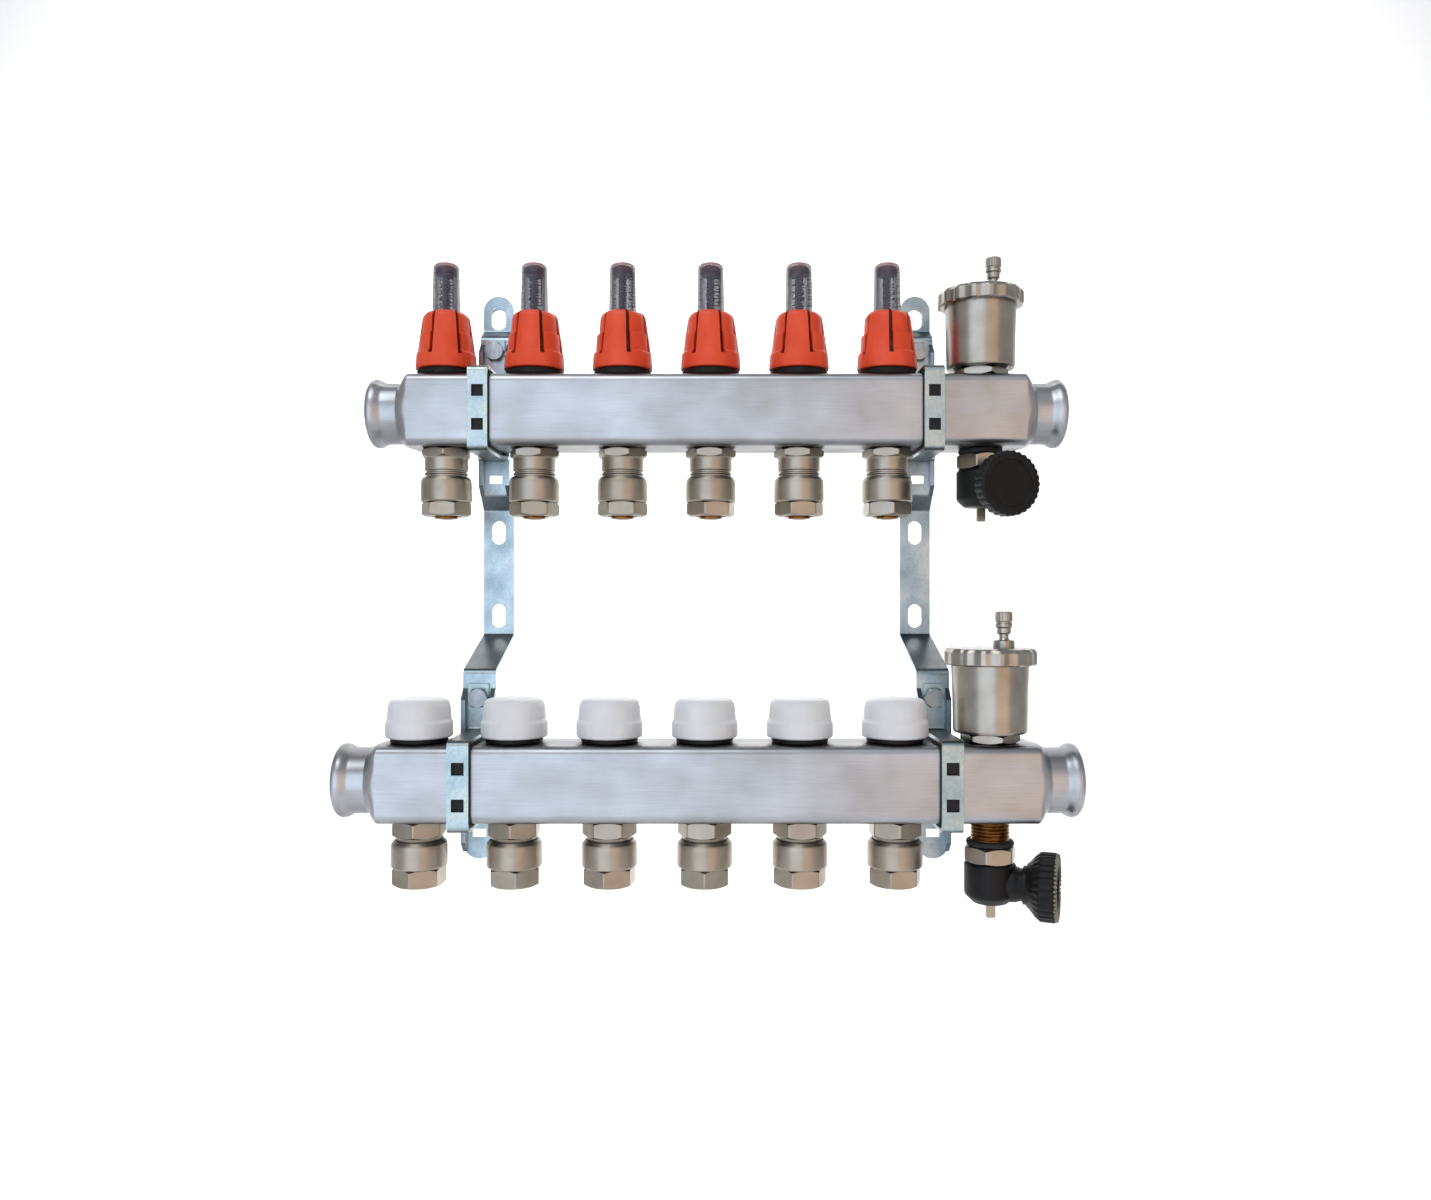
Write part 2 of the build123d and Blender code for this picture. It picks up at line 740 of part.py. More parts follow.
def vent_float():
    """Float in the chamber, resting just above its floor."""
    low = half_bar + vent_hex_height + vent_floor + plain_clearance
    edge = 2.0
    high = low + vent_float_height
    r = vent_float_radius
    return single(turned([
        (0, low), (r - edge, low), (r, low + edge), (r, high - edge), (r - edge, high), (0, high),
    ]))


def drain_body(drop):
    """Metal part of a drain valve: thread, hexagon and the post that the swivel turns on."""
    face = -half_bar - drop
    hex_top = face - drain_seal_height
    hex_low = hex_top - drain_hex_height
    end = hex_low - drain_post_length
    shape = cylinder(drain_thread_radius, hex_top - 0.5, face + drain_thread_length)
    shape += hexagon(drain_hex_flats, hex_low, hex_top, turn=drain_hex_turn)
    shape += cylinder(drain_post_radius, end, hex_low + 0.5)
    shape -= cylinder(drain_bore, hex_low - 4, face + drain_thread_length + 1)
    shape -= cylinder(drain_spindle_radius + running_clearance, end - 1, hex_low)
    return single(shape)


def drain_seal(drop):
    """Black sealing ring above the hexagon of a drain valve."""
    high = -half_bar - drop
    low = high - drain_seal_height
    inner = drain_thread_radius + thread_clearance
    edge = 0.8
    r = drain_seal_radius
    return single(turned([
        (inner, low), (r - edge, low), (r, low + edge), (r, high - edge), (r - edge, high), (inner, high),
    ]))


def drain_heights(drop):
    """Top, bottom and branch height of the swivel of a drain valve."""
    top = -half_bar - drop - drain_seal_height - drain_hex_height - plain_clearance
    low = top - drain_body_height
    return top, low, (top + low) / 2


def outward(solid, height):
    """Turn a solid made along Z so that it points along +X at a height."""
    return Pos(0, 0, height) * Rot(0, 90, 0) * solid


def drain_swivel(drop):
    """Moulded elbow round the post, with a short branch for a hose."""
    top, low, branch = drain_heights(drop)
    edge = drain_body_edge
    r = drain_body_radius
    shape = turned([
        (0, low), (r - edge, low), (r - edge * 0.3, low + edge * 0.3), (r, low + edge), (r, top - 1),
        (r - 1, top), (0, top),
    ])
    shape += outward(turned([
        (0, 0), (drain_branch_radius, 0), (drain_branch_radius, drain_hose_start),
        (drain_hose_radius, drain_hose_start), (drain_hose_radius, drain_hose_end), (0, drain_hose_end),
    ]), branch)
    post = drain_post_radius + plain_clearance
    floor = top - drain_post_length - plain_clearance
    shape -= cylinder(post, floor, top + 1)
    shape -= cylinder(drain_spindle_radius + plain_clearance, low - 1, floor + 1)
    bore = cylinder(drain_branch_bore, post - 2, drain_hose_end + 1)
    return single(shape - outward(bore, branch))


def drain_cap(drop):
    """Ribbed cap on the hose branch, flared from a narrow neck and recessed in its face."""
    branch = drain_heights(drop)[2]
    bore = drain_hose_radius + 2 * thread_clearance
    floor = drain_hose_end + plain_clearance
    flare = drain_cap_start + drain_cap_flare
    r = drain_cap_radius
    recess = drain_cap_end - drain_cap_recess_depth
    shape = turned([
        (bore, drain_cap_start), (drain_cap_neck_radius, drain_cap_start), (r - 1, flare - 1), (r, flare),
        (r, drain_cap_end - 1), (r - 1, drain_cap_end), (drain_cap_recess_radius, drain_cap_end),
        (drain_cap_recess_radius, recess), (0, recess), (0, floor), (bore, floor),
    ])
    for count in range(drain_cap_ribs):
        turn = Rot(0, 0, count * 360 / drain_cap_ribs)
        groove_x = r + drain_rib_radius * 0.5
        shape -= turn * cylinder(drain_rib_radius, drain_cap_start, drain_cap_end + 1, groove_x)
    return outward(single(shape), branch)


def drain_spindle(drop):
    """Spindle of a drain valve, with the square end that a key turns."""
    top, low, branch = drain_heights(drop)
    square = low - drain_square_length
    shape = cylinder(drain_spindle_radius, low - 0.5, top - 2)
    half = drain_square / 2
    shape += block((-half, -half, square), (half, half, low - 0.3))
    return single(shape)


def supply_row(solid):
    """The same solid at each outlet of the supply bar."""
    return [Pos(x, supply_y, supply_z) * solid for x in supply_xs]


def return_row(solid):
    """The same solid at each outlet of the return bar."""
    return [Pos(x, return_y, return_z) * solid for x in return_xs]


def assembly():
    """Every node's name with its solids."""
    nodes = {}
    nodes["supply_bar"] = [bar(supply_xs, vent_xs[0], supply_y, supply_z)]
    nodes["return_bar"] = [bar(return_xs, vent_xs[1], return_y, return_z)]
    nodes["left_bracket"] = [bracket(bracket_xs[0])]
    nodes["right_bracket"] = [bracket(bracket_xs[1])]
    places = [(x, y, z, front) for x in bracket_xs for y, z, front in seats]
    nodes["bar_clamps"] = [clamp(x, y, z, front) for x, y, z, front in places]
    nodes["clamp_liners"] = [liner(x, y, z) for x, y, z, front in places]
    nodes["clamp_bolts"] = [clamp_bolt(x, front, z + bolt_above) for x, y, z, front in places]
    nodes["clamp_bolts"] += [clamp_nut(x, front, z + bolt_above) for x, y, z, front in places]

    supply_nut_top = -half_bar - supply_hex_height - supply_neck_length
    return_nut_top = -half_bar - return_hex_height - return_neck_length
    supply_nut = nut(supply_nut_top, supply_nut_radius, supply_nut_hex_height)
    return_nut = nut(return_nut_top, return_nut_radius, return_nut_hex_height)
    nodes["supply_nipples"] = supply_row(nipple(supply_hex_height, supply_neck_length))
    nodes["return_nipples"] = return_row(nipple(return_hex_height, return_neck_length))
    nodes["supply_nuts"] = supply_row(supply_nut)
    nodes["return_nuts"] = return_row(return_nut)
    nodes["pipe_inserts"] = supply_row(pipe_insert(supply_nut_top, supply_nut_hex_height))
    nodes["pipe_inserts"] += return_row(pipe_insert(return_nut_top, return_nut_hex_height))

    nodes["meter_bodies"] = supply_row(meter_body())
    nodes["sight_glasses"] = supply_row(sight_glass())
    nodes["valve_bodies"] = return_row(valve_body())
    nodes["valve_collars"] = return_row(valve_collar())
    for index, x in enumerate(supply_xs):
        place = Pos(x, supply_y, supply_z)
        phase = lock_cap_phases[index % len(lock_cap_phases)]
        nodes[f"setting_ring_{index + 1}"] = [place * setting_ring()]
        nodes[f"lock_cap_{index + 1}"] = [place * lock_cap(phase)]
        nodes[f"flow_indicator_{index + 1}"] = [place * flow_indicator()]
    for index, x in enumerate(return_xs):
        place = Pos(x, return_y, return_z)
        nodes[f"valve_pin_{index + 1}"] = [place * valve_pin()]
        nodes[f"valve_cap_{index + 1}"] = [place * valve_cap()]

    fittings = (
        ("supply", Pos(vent_xs[0], supply_y, supply_z), 0.0, drain_azimuths[0]),
        ("return", Pos(vent_xs[1], return_y, return_z), return_drain_drop, drain_azimuths[1]),
    )
    for group in ("vent_bodies", "vent_lids", "drain_bodies", "drain_seals"):
        nodes[group] = []
    for name, place, drop, azimuth in fittings:
        nodes["vent_bodies"].append(place * vent_body())
        nodes["vent_lids"].append(place * vent_lid())
        nodes[f"{name}_vent_cap"] = [place * vent_cap()]
        nodes[f"{name}_vent_float"] = [place * vent_float()]
        nodes["drain_bodies"].append(place * drain_body(drop))
        nodes["drain_seals"].append(place * drain_seal(drop))
        turn = Rot(0, 0, azimuth)
        nodes[f"{name}_drain_swivel"] = [place * turn * drain_swivel(drop)]
        nodes[f"{name}_drain_cap"] = [place * turn * drain_cap(drop)]
        nodes[f"{name}_drain_spindle"] = [place * drain_spindle(drop)]
    return nodes


os.makedirs("parts", exist_ok=True)
for name, solids in assembly().items():
    piece = solids[0] if len(solids) == 1 else Compound(children=solids)
    export_step(piece, f"parts/{name}.step")
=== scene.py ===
"""Floor-heating manifold: two square stainless bars on zinc-plated strap brackets, six flow meters
under red caps on the supply bar, six hand-capped valves on the return bar, two automatic air vents
and two swivelling drain valves. Lengths are in millimetres until a mesh is finished."""

import math

import bmesh
import bpy
from mathutils import Matrix, Vector


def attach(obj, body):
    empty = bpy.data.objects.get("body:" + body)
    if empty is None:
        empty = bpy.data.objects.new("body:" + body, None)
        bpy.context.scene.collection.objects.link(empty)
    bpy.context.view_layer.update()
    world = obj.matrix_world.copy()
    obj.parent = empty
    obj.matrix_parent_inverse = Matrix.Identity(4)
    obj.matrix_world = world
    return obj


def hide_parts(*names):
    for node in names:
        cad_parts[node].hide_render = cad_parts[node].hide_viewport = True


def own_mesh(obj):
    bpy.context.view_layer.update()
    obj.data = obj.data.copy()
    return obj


MM = 0.001
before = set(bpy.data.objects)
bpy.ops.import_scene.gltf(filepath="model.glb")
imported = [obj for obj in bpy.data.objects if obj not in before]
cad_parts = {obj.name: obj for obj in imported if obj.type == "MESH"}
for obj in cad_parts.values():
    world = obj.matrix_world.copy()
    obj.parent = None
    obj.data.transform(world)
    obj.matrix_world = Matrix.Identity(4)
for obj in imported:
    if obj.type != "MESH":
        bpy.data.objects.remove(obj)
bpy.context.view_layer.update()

# Places of the two bars and of what stands on them
SUPPLY_Y, SUPPLY_Z = -38.5, 100.0
RETURN_Y, RETURN_Z = -83.5, -100.0
PITCH = 50.0
OUTLETS = 6
SUPPLY_X = -147.5
RETURN_X = -150.5
VENTS = {"supply": (155.5, SUPPLY_Y, SUPPLY_Z), "return": (149.5, RETURN_Y, RETURN_Z)}
HALF_BAR = 20.0
BAR_CORNER = 5.0
NECK_LENGTH, NECK_OUTSIDE, NECK_INSIDE = 17.0, 17.2, 15.7
NECK_TO_FLAT = 2.8
SHOULDER_LENGTH = 7.5
OUTLET_PORT, VENT_PORT = 11.2, 10.2

# Meshes


def rounded(corners, steps=5):
    """Profile points from (radius, height, corner rounding) triples, each corner taken round."""
    points = []
    for i, (r, z, rho) in enumerate(corners):
        here = Vector((r, z))
        if rho <= 0 or i in (0, len(corners) - 1):
            points.append((r, z))
            continue
        back = (Vector(corners[i - 1][:2]) - here).normalized()
        on = (Vector(corners[i + 1][:2]) - here).normalized()
        half = back.angle(on) / 2
        run = rho / math.tan(half)
        centre = here + (back + on).normalized() * (rho / math.sin(half))
        first, last = here + back * run - centre, here + on * run - centre
        sweep = first.angle_signed(last)
        for k in range(steps + 1):
            turned = Matrix.Rotation(-sweep * k / steps, 2) @ first
            points.append((centre.x + turned.x, centre.y + turned.y))
    return points


def around(count):
    """Even angles round a turned piece."""
    return [2 * math.pi * k / count for k in range(count)]


def lathe(bm, profile, angles=None, skin=None, closed=True, place=Matrix()):
    """Skin turned about Z from (radius, height) points; skin() may move a point by its angle."""
    angles = angles or around(64)
    rings = []
    for row, (r, z) in enumerate(profile):
        if r < 1e-6:
            rings.append([bm.verts.new(place @ Vector((0, 0, z)))] * len(angles))
            continue
        ring = []
        for a in angles:
            rr, zz = skin(a, r, z, row) if skin else (r, z)
            ring.append(bm.verts.new(place @ Vector((rr * math.cos(a), rr * math.sin(a), zz))))
        rings.append(ring)
    pairs = list(zip(rings, rings[1:]))
    if closed and rings[0][0] is not rings[0][-1]:
        pairs.append((rings[-1], rings[0]))
    for low, high in pairs:
        for k in range(len(angles)):
            n = (k + 1) % len(angles)
            corners = [low[k], low[n], high[n], high[k]]
            face = list(dict.fromkeys(corners))
            if len(face) > 2:
                bm.faces.new(face)


def hex_reach(angle, flats):
    """Distance from axis to side of a hexagon, its corners slightly rounded off."""
    sector = (angle + math.pi / 6) % (math.pi / 3) - math.pi / 6
    return flats / 2 * min(1 / math.cos(sector), HEX_CORNER)


HEX_CORNER = 1.143
HEX_CHAMFER = math.tan(math.radians(30))
HEX_ANGLES = [math.radians(60 * s + d) for s in range(6) for d in (-30, -28.6, -27, -18, -9, 0, 9, 18, 27, 28.6)]


def hexagon(bm, flats, low, high, bore=0.0, ends=0.96, place=Matrix()):
    """Hexagonal prism with turned chamfers at both ends, solid or with a bore."""
    flat = flats / 2 * ends

    def skin(a, r, z, row):
        reach = hex_reach(a, flats)
        if row == wall:
            return reach, low + (reach - flat) * HEX_CHAMFER
        if row == wall + 1:
            return reach, high - (reach - flat) * HEX_CHAMFER
        return r, z

    wall = 2
    profile = [(bore, low), (flat, low), (flat, low), (flat, high), (flat, high), (bore, high)]
    lathe(bm, profile, HEX_ANGLES, skin, closed=bore > 0, place=place)


def bar_side():
    """Points round a square section with rounded corners, half width 1."""
    steps = 6
    corner = BAR_CORNER / HALF_BAR
    straight = 1 - corner
    quarter = [(1.0, -straight + 2 * straight * k / 8) for k in range(8)]
    for k in range(steps):
        a = math.pi / 2 * k / steps
        quarter.append((straight + corner * math.cos(a), straight + corner * math.sin(a)))
    return [(x * math.cos(q) - y * math.sin(q), x * math.sin(q) + y * math.cos(q))
            for q in around(4) for x, y in quarter]


def tube_loft(bm, stations, section):
    """Rings of points along X: each station is (x, half width, roundness from 0 square to 1 round)."""
    rings = []
    for x, half, roundness in stations:
        ring = []
        for u, v in section:
            reach = math.hypot(u, v)
            scale = half * ((1 - roundness) + roundness / reach)
            ring.append(bm.verts.new((x, u * scale, v * scale)))
        rings.append(ring)
    for low, high in zip(rings, rings[1:]):
        for k in range(len(section)):
            n = (k + 1) % len(section)
            bm.faces.new((low[k], low[n], high[n], high[k]))
    return rings


def swaged_end():
    """Stations of one bar end, from the rolled lip to the square: outside, then inside."""
    bead = [(0.0, 16.6), (0.35, 17.6), (1.1, 18.7), (2.2, 19.25), (3.5, 19.4), (4.9, 19.1), (6.2, 18.5),
            (7.4, 17.7), (8.6, 17.3), (9.6, NECK_OUTSIDE), (NECK_LENGTH, NECK_OUTSIDE)]
    outside = [(x, r, 1.0) for x, r in bead]
    inside = [(0.25, 15.9, 1.0), (1.6, NECK_INSIDE, 1.0), (NECK_LENGTH, NECK_INSIDE, 1.0)]
    for k in range(1, 11):
        s = k / 10
        ease = s * s * (3 - 2 * s)
        swell = 1 - (1 - s) ** 2.2
        outside.append((NECK_LENGTH + SHOULDER_LENGTH * s, NECK_OUTSIDE + NECK_TO_FLAT * swell, 1 - ease))
        inside.append((NECK_LENGTH + 0.6 + SHOULDER_LENGTH * s, NECK_INSIDE + NECK_TO_FLAT * swell, 1 - ease))
    return outside, inside


def square_bar(bm, left, right):
    """Square tube along X, both ends swaged to a round neck with a rolled bead."""
    section = bar_side()
    outside, inside = swaged_end()
    shells = []
    for ends in (outside, inside):
        stations = [(left + x, h, t) for x, h, t in ends]
        stations += [(right - x, h, t) for x, h, t in reversed(ends)]
        shells.append(tube_loft(bm, stations, section))
    for k in range(len(section)):
        n = (k + 1) % len(section)
        for end in (0, -1):
            bm.faces.new((shells[0][end][k], shells[0][end][n], shells[1][end][n], shells[1][end][k]))


# Geometry node trees


def add(tree, kind, settings=None, **links):
    """Add a node with its settings; links name its inputs and give values or other nodes' outputs."""
    node = tree.nodes.new(kind)
    for key, value in (settings or {}).items():
        setattr(node, key, value)
    for key, value in links.items():
        name = key.replace("_", " ")
        socket = node.inputs[int(key[1:])] if key[0] == "i" and key[1:].isdigit() else node.inputs[name]
        if isinstance(value, bpy.types.NodeSocket):
            tree.links.new(value, socket)
        elif value is not None:
            socket.default_value = value
    return node


def new_tree(name, inputs):
    """Geometry tree with named inputs and one geometry output."""
    tree = bpy.data.node_groups.new(name, "GeometryNodeTree")
    for label, kind in inputs:
        tree.interface.new_socket(label, in_out="INPUT", socket_type=kind)
    tree.interface.new_socket("Geometry", in_out="OUTPUT", socket_type="NodeSocketGeometry")
    return tree, tree.nodes.new("NodeGroupInput").outputs


def close_tree(tree, instances, finish):
    """Realize the copies, give them their finish and send them out."""
    solid = add(tree, "GeometryNodeRealizeInstances", Geometry=instances)
    done = add(tree, "GeometryNodeSetMaterial", Geometry=solid.outputs[0], Material=finish)
    add(tree, "NodeGroupOutput", Geometry=done.outputs[0])


def row_tree():
    """Copies of a piece in a row along X, each turned about its own axis by a random part of a turn."""
    tree, given = new_tree("outlet_row", [
        ("Piece", "NodeSocketObject"), ("Count", "NodeSocketInt"), ("Start", "NodeSocketVector"),
        ("Pitch", "NodeSocketFloat"), ("Turn", "NodeSocketFloat"), ("Seed", "NodeSocketInt"),
        ("Finish", "NodeSocketMaterial")])
    step = add(tree, "ShaderNodeCombineXYZ", X=given["Pitch"])
    line = add(tree, "GeometryNodeMeshLine", {"mode": "OFFSET"}, Count=given["Count"],
               Start_Location=given["Start"], Offset=step.outputs[0])
    most = add(tree, "ShaderNodeCombineXYZ", Z=given["Turn"])
    turn = add(tree, "FunctionNodeRandomValue", {"data_type": "FLOAT_VECTOR"}, i0=(0, 0, 0),
               i1=most.outputs[0], Seed=given["Seed"])
    piece = add(tree, "GeometryNodeObjectInfo", Object=given["Piece"])
    copies = add(tree, "GeometryNodeInstanceOnPoints", Points=line.outputs[0],
                 Instance=piece.outputs["Geometry"], Rotation=turn.outputs[0])
    close_tree(tree, copies.outputs[0], given["Finish"])
    return tree


def ring_tree():
    """Copies of a rib set evenly round the Z axis."""
    tree, given = new_tree("rib_ring", [
        ("Piece", "NodeSocketObject"), ("Count", "NodeSocketInt"), ("Radius", "NodeSocketFloat"),
        ("Finish", "NodeSocketMaterial")])
    ring = add(tree, "GeometryNodeMeshCircle", Vertices=given["Count"], Radius=given["Radius"])
    index = add(tree, "GeometryNodeInputIndex")
    share = add(tree, "ShaderNodeMath", {"operation": "DIVIDE"}, i0=index.outputs[0], i1=given["Count"])
    angle = add(tree, "ShaderNodeMath", {"operation": "MULTIPLY"}, i0=share.outputs[0], i1=2 * math.pi)
    turn = add(tree, "ShaderNodeCombineXYZ", Z=angle.outputs[0])
    piece = add(tree, "GeometryNodeObjectInfo", Object=given["Piece"])
    copies = add(tree, "GeometryNodeInstanceOnPoints", Points=ring.outputs[0],
                 Instance=piece.outputs["Geometry"], Rotation=turn.outputs[0])
    close_tree(tree, copies.outputs[0], given["Finish"])
    return tree


def grown(tree, finish, **inputs):
    """Plain mesh of what a geometry tree makes, in millimetres."""
    holder = bpy.data.objects.new("holder", bpy.data.meshes.new("holder"))
    bpy.context.scene.collection.objects.link(holder)
    modifier = holder.modifiers.new("tree", "NODES")
    modifier.node_group = tree
    inputs["Finish"] = finish
    for socket in tree.interface.items_tree:
        if socket.in_out == "INPUT" and socket.name in inputs:
            modifier[socket.identifier] = inputs[socket.name]
    evaluated = holder.evaluated_get(bpy.context.evaluated_depsgraph_get())
    mesh = bpy.data.meshes.new_from_object(evaluated)
    bpy.data.objects.remove(holder)
    return mesh


def pattern_piece(bm):
    """Plain object made from a bmesh, for a tree to copy or a cut to use; it is removed afterwards."""
    mesh = bpy.data.meshes.new("pattern_piece")
    bmesh.ops.recalc_face_normals(bm, faces=bm.faces)
    bm.to_mesh(mesh)
    bm.free()
    piece = bpy.data.objects.new("pattern_piece", mesh)
    bpy.context.scene.collection.objects.link(piece)
    return piece


def ribs(rib, count, radius):
    """Mesh of ribs round an axis, from the mesh of one rib that stands on +X."""
    piece = pattern_piece(rib)
    mesh = grown(RIB_RING, None, Piece=piece, Count=count, Radius=radius)
    bpy.data.objects.remove(piece)
    return mesh


def finish_piece(name, source, finish, body, slot, replaces=(), soft=30, bevel=0.0, place=Matrix()):
    """Turn millimetre mesh or bmesh into a finished piece riding on its body."""
    bm = source
    if isinstance(source, bpy.types.Mesh):
        bm = bmesh.new()
        bm.from_mesh(source)
    bmesh.ops.remove_doubles(bm, verts=bm.verts, dist=1e-4)
    bmesh.ops.recalc_face_normals(bm, faces=bm.faces)
    bmesh.ops.transform(bm, matrix=Matrix.Scale(MM, 4) @ place, verts=bm.verts)
    mesh = bpy.data.meshes.new(name)
    bm.to_mesh(mesh)
    bm.free()
    mesh.materials.clear()
    mesh.materials.append(finish)
    for face in mesh.polygons:
        face.material_index = 0
        face.use_smooth = True
    piece = bpy.data.objects.new(name, mesh)
    bpy.context.scene.collection.objects.link(piece)
    mesh.set_sharp_from_angle(angle=math.radians(soft))
    if bevel:
        edge = piece.modifiers.new("worn_edge", "BEVEL")
        edge.width = bevel * MM
        edge.segments = 2
        edge.limit_method = "ANGLE"
        edge.angle_limit = math.radians(soft)
    even = piece.modifiers.new("even_light", "WEIGHTED_NORMAL")
    even.keep_sharp = True
    evaluated = piece.evaluated_get(bpy.context.evaluated_depsgraph_get())
    piece.data = bpy.data.meshes.new_from_object(evaluated)
    piece.data.name = name
    piece.modifiers.clear()
    bpy.data.meshes.remove(mesh)
    if replaces:
        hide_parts(*replaces)
    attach(piece, body)
    return piece


def along(bar, bm, name, finish, slot, turn=0.0, seed=1, **said):
    """One moulded or turned piece copied at the six outlets of a bar."""
    x, y, z = (SUPPLY_X, SUPPLY_Y, SUPPLY_Z) if bar == "supply" else (RETURN_X, RETURN_Y, RETURN_Z)
    piece = pattern_piece(bm)
    mesh = grown(OUTLET_ROW, finish, Piece=piece, Count=OUTLETS, Start=(x, y, z), Pitch=PITCH,
                 Turn=turn, Seed=seed)
    bpy.data.objects.remove(piece)
    return finish_piece(name, mesh, finish, "manifold", slot, **said)


# Materials


def hue(code):
    """Linear colour from an sRGB hex value."""
    parts = [int(code[i:i + 2], 16) / 255 for i in (1, 3, 5)]
    return tuple(p / 12.92 if p <= 0.04045 else ((p + 0.055) / 1.055) ** 2.4 for p in parts) + (1.0,)


def surface(name, **fixed):
    """Material with one Principled surface; returns the material, its tree and that surface."""
    material = bpy.data.materials.new(name)
    material.use_nodes = True
    tree = material.node_tree
    tree.nodes.clear()
    coat = add(tree, "ShaderNodeBsdfPrincipled", None, **fixed)
    add(tree, "ShaderNodeOutputMaterial", Surface=coat.outputs[0])
    return material, tree, coat


def stretched(tree, scale=(1, 1, 1)):
    """Object coordinates in millimetres, stretched by a scale along each axis."""
    place = add(tree, "ShaderNodeTexCoord")
    factor = [s / MM for s in scale]
    return add(tree, "ShaderNodeMapping", None, Vector=place.outputs["Object"], Scale=factor).outputs[0]


def noise(tree, vector, size, detail=3.0, rough=0.5):
    """Noise with grains of a size in millimetres."""
    return add(tree, "ShaderNodeTexNoise", None, Vector=vector, Scale=1 / size, Detail=detail,
               Roughness=rough).outputs[0]


def ramp(tree, factor, stops):
    """Colour ramp from (position, colour) stops."""
    node = add(tree, "ShaderNodeValToRGB", None, Fac=factor)
    while len(node.color_ramp.elements) < len(stops):
        node.color_ramp.elements.new(1.0)
    for element, (at, code) in zip(node.color_ramp.elements, stops):
        element.position = at
        element.color = hue(code)
    return node.outputs[0]


def spread(tree, factor, low, high, start=0.3, end=0.7):
    """A number that runs from low to high with a noise."""
    return add(tree, "ShaderNodeMapRange", None, Value=factor, From_Min=start, From_Max=end, To_Min=low,
               To_Max=high).outputs[0]


def relief(tree, coat, height, depth, strength=1.0, under=None):
    """Bump of a depth in millimetres on a surface."""
    bump = add(tree, "ShaderNodeBump", None, Strength=strength, Distance=depth * MM, Height=height,
               Normal=under)
    tree.links.new(bump.outputs[0], coat.inputs["Normal"])
    return bump.outputs[0]


def blend(tree, kind, factor, a, b):
    """Two colours mixed."""
    node = add(tree, "ShaderNodeMix", {"data_type": "RGBA", "blend_type": kind})
    for index, value in ((0, factor), (6, a), (7, b)):
        if isinstance(value, bpy.types.NodeSocket):
            tree.links.new(value, node.inputs[index])
        else:
            node.inputs[index].default_value = value
    return node.outputs[2]


def painted_level_shade(tree, low, high=0.95):
    """Painted-shade factor that falls from 1 on upright faces to low on faces that look up or down."""
    face = add(tree, "ShaderNodeSeparateXYZ", None,
               Vector=add(tree, "ShaderNodeTexCoord").outputs["Normal"]).outputs[2]
    level = add(tree, "ShaderNodeMath", {"operation": "ABSOLUTE"}, i0=face).outputs[0]
    return spread(tree, level, 1.0, low, 0.3, high)


def satin_stainless():
    """Stainless steel tube, drawn square, satin finished lengthwise: even cool grey, fine long
    scratches, slow waviness from welding that moves the reflections, painted shade darker above and below."""
    material, tree, coat = surface("satin_stainless_steel", Metallic=1.0)
    place = stretched(tree)
    long = stretched(tree, (0.02, 1, 1))
    grain = noise(tree, long, 0.35, 4.0, 0.6)
    clouds = noise(tree, place, 30.0, 2.0)
    smears = noise(tree, stretched(tree, (0.35, 1, 1)), 12.0, 3.0)
    tone = ramp(tree, clouds, [(0.3, "#B3B4B5"), (0.5, "#BFC2C6"), (0.72, "#CBCED3")])
    lined = blend(tree, "MULTIPLY", 0.3, tone, ramp(tree, grain, [(0.25, "#B8B8B8"), (0.6, "#FFFFFF")]))
    # Painted shade: faces that look up or down are darkened.
    tone_with_painted_shade = blend(tree, "MULTIPLY", 1.0, lined, painted_level_shade(tree, 0.3))
    tree.links.new(tone_with_painted_shade, coat.inputs["Base Color"])
    tree.links.new(spread(tree, smears, 0.30, 0.42), coat.inputs["Roughness"])
    wave = relief(tree, coat, clouds, 0.06, 0.4)
    relief(tree, coat, grain, 0.010, 0.7, wave)
    return material


def zinc_plate(name, tones, rough=(0.26, 0.42)):
    """Bent strip steel, zinc plated and passivated: bluish grey with a faint spangle, rub marks and
    slow shifts of tint, with painted shade darker where it lies flat or slopes."""
    material, tree, coat = surface(name, Metallic=1.0)
    place = stretched(tree)
    tint = noise(tree, place, 16.0, 2.0)
    spangle = add(tree, "ShaderNodeTexVoronoi", None, Vector=place, Scale=1 / 1.6).outputs[0]
    rub = noise(tree, stretched(tree, (1, 1, 0.12)), 0.9, 4.0, 0.65)
    tone = ramp(tree, tint, list(zip((0.3, 0.52, 0.74), tones)))
    tone = blend(tree, "MULTIPLY", 0.25, tone, ramp(tree, spangle, [(0.0, "#FFFFFF"), (0.9, "#8F9498")]))
    # Painted shade: faces that look up or down are darkened strongly.
    tree.links.new(blend(tree, "MULTIPLY", 1.0, tone, painted_level_shade(tree, 0.12, 0.75)), coat.inputs["Base Color"])
    tree.links.new(spread(tree, rub, *rough), coat.inputs["Roughness"])
    relief(tree, coat, rub, 0.02, 0.5)
    return material


def nickel_brass(name, tones, rough, skin_depth):
    """Brass, turned or forged, and nickel plated: warm silvery grey with a fine skin, slow stains and painted shade.
    """
    material, tree, coat = surface(name, Metallic=1.0)
    skin = noise(tree, stretched(tree), 0.6, 3.0, 0.6)
    stain = noise(tree, stretched(tree), 14.0, 2.0)
    tone = ramp(tree, stain, list(zip((0.28, 0.5, 0.75), tones)))
    # Painted shade: faces that look up or down are darkened.
    tree.links.new(blend(tree, "MULTIPLY", 1.0, tone, painted_level_shade(tree, 0.4)), coat.inputs["Base Color"])
    tree.links.new(spread(tree, skin, *rough), coat.inputs["Roughness"])
    relief(tree, coat, skin, skin_depth, 0.3)
    return material


